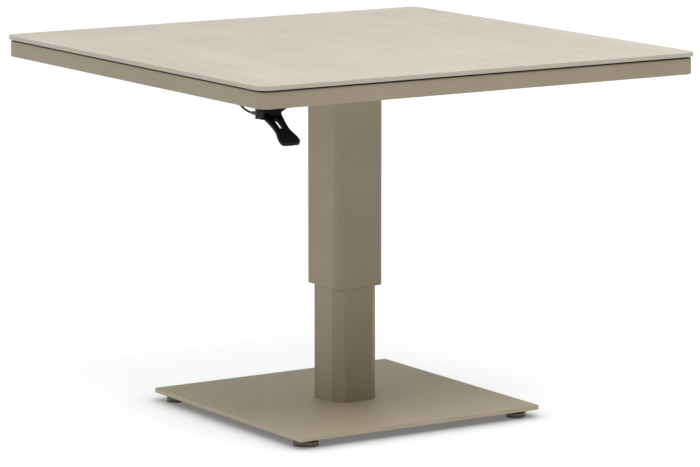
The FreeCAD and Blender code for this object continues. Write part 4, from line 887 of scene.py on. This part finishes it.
# Radius and level of each ring: the barrel, the grip with eased edges, and back through the bore
barrel_rows = [(BARREL - BARREL_EDGE, 0), (BARREL, BARREL_EDGE), (BARREL, grip_start),
               (GRIP - 0.1, grip_start), (GRIP, grip_start + 0.3), (GRIP, length - GRIP_EDGE),
               (GRIP - GRIP_EDGE, length), (BORE, length), (BORE, 0)]
barrel = skin([ring(radius, level) for radius, level in barrel_rows], closed=True)
knurl_line = ring(GRIP - KNURL_SUNK, length - GRIP_LENGTH / 2)
knurl_line.append(knurl_line[0])
knurl = grown(ribs_tree, path_mesh(knurl_line), Count=KNURLS, Radius=KNURL_RADIUS * MM,
              Height=KNURL_HEIGHT * MM, Finish=grey_zinc)
lie_down = Matrix.Translation(Vector(((low.x + high.x) / 2, low.y, (low.z + high.z) / 2)) * MM)
lie_down @= Matrix.Rotation(-math.pi / 2, 4, "X")
for mesh in (barrel, knurl):
    mesh.transform(lie_down)
stand_for(link("adjuster_barrel", barrel, grey_zinc), "cable_adjuster")
ride_with(link("adjuster_knurl", knurl), "cable_adjuster")
print("adjuster", round(length), "mm long with", KNURLS, "knurls")

# %% [markdown]
# ## Screws
#
# Flanged hexagon bolts hold the head plate, countersunk socket screws hold the column's foot, and small
# socket screws hold the brackets. Each is one profile of rings, and a tree of nodes sets it at the places
# that the CAD gives, turned by chance as real screws are when they are tight.

# %% Screw profiles
# Rings of each screw from its head to its end: size, level along the screw, and sides where it isn't round
flange_bolt = ((2.5, -4.9), (5.8, -5.3, 6), (6.5, -4.8, 6), (6.5, -1.9, 6), (8.2, -1.5), (8.75, -1.0),
               (8.75, -0.1), (8.4, 0), (4, 0), (4, 17))
countersunk = ((2.5, 2.6, 6), (2.5, 0, 6), (7.6, 0), (7.95, 0.25), (4, 4), (4, 15.9), (3.4, 16.5))
pan_screw = ((2, -1.4, 6), (2, -3.4, 6), (3.6, -3.4), (4.3, -2.9), (4.5, -2.2), (4.5, -0.2), (4.3, 0),
             (2.5, 0), (2.5, 12.3))
small_screw = ((1.5, -0.9, 6), (1.5, -2.5, 6), (2.9, -2.5), (3.4, -2.0), (3.5, -1.4), (3.5, -0.2), (3.3, 0),
               (2, 0), (2, 9.9))
print("rings", [len(rows) for rows in (flange_bolt, countersunk, pan_screw, small_screw)])

# %% Screws
SCREW_SEED, PROUD = 4, 0.1
FLANGE_HALF, SUNK_HALF, PAN_HALF, SMALL_HALF = 8.75, 8, 4.5, 3.5
PAN_HEIGHT, SMALL_HEIGHT = 3.4, 2.5
# A box wider than this many head radii holds two screws side by side
PAIR_ROOM = 3


def screw_set(node, rows, head, seat, upside_down=False):
    """Screws of one shape at the ends of a CAD node's box, in place of it."""
    low, high = size_of(node)
    room = PAIR_ROOM * head
    across = [low.x + head, high.x - head] if high.x - low.x > room else [(low.x + high.x) / 2]
    along = [low.y + head, high.y - head] if high.y - low.y > room else [(low.y + high.y) / 2]
    spots = bpy.data.meshes.new("spots")
    spots.from_pydata([Vector((x, y, seat)) * MM for x in across for y in along], [], [])
    shape = skin([ring(*row) for row in rows])
    if upside_down:
        shape.transform(Matrix.Rotation(math.pi, 4, "X"))
    pattern = bpy.data.objects.new("pattern", shape)
    scene.collection.objects.link(pattern)
    made = grown(screws_tree, spots, Screw=pattern, Seed=SCREW_SEED, Finish=zinc)
    bpy.data.objects.remove(pattern)
    stand_for(link(f"{node}_set", made), node)
    print(node, len(across) * len(along), "screws")


screw_set("head_bolts", flange_bolt, FLANGE_HALF, size_of("head_plate")[0].z)
screw_set("base_bolts", countersunk, SUNK_HALF, size_of("base_plate")[0].z - PROUD)
screw_set("lever_bracket_screws", pan_screw, PAN_HALF, size_of("lever_bracket_screws")[0].z + PAN_HEIGHT)
screw_set("release_screws", small_screw, SMALL_HALF, size_of("release_screws")[1].z - SMALL_HEIGHT,
          upside_down=True)

# %% [markdown]
# ## Welds
#
# The column is welded to its head plate and the tubes to the apron before the coat goes on, so the beads show
# as soft ripples in the same taupe. A tree of nodes lays balls close together along each seam, a little
# uneven in size.

# %% Welds
WELD_RADIUS, WELD_PITCH, WELD_SEED = 2.0, 1.5, 11
seams = [loop(outer_outline, 0, outer_top)]
seams[0].append(seams[0][0])
apron_inside = apron_face - APRON_WIDTH
for name in RAILS:
    low, high = size_of(name)
    for side in (-apron_inside, apron_inside):
        bend = [(low.y, high.z - WELD_RADIUS), (low.y, low.z + TUBE_EDGE), (low.y + TUBE_EDGE, low.z),
                (high.y - TUBE_EDGE, low.z), (high.y, low.z + TUBE_EDGE), (high.y, high.z - WELD_RADIUS)]
        seams.append([Vector((side, y, z)) * MM for y, z in bend])
beads = grown(weld_tree, path_mesh(*seams), Pitch=WELD_PITCH * MM, Radius=WELD_RADIUS * MM, Seed=WELD_SEED,
              Finish=powder_coat)
ride_with(link("frame_welds", beads), "head_plate")
print("weld seams", len(seams), "with", len(beads.polygons), "faces")

# %% [markdown]
# ## Other CAD parts
#
# What is already right in the CAD model keeps its shape and only takes its finish.

# %% Finishes of the CAD parts
FINISH_OF_SLOT = {"ceramic_slab": ceramic, "taupe_powder_coat": powder_coat, "black_rubber": seal_rubber,
                  "black_plastic": nylon, "cable_plastic": cable_skin, "zinc_steel": zinc,
                  "chromed_rod": chrome, "black_coat": black_coat}
for node, slot in SLOT_OF.items():
    shown = frame["nodes"][node]
    shown.data.materials.clear()
    shown.data.materials.append(FINISH_OF_SLOT[slot])
print("CAD parts with a finish", len(SLOT_OF))
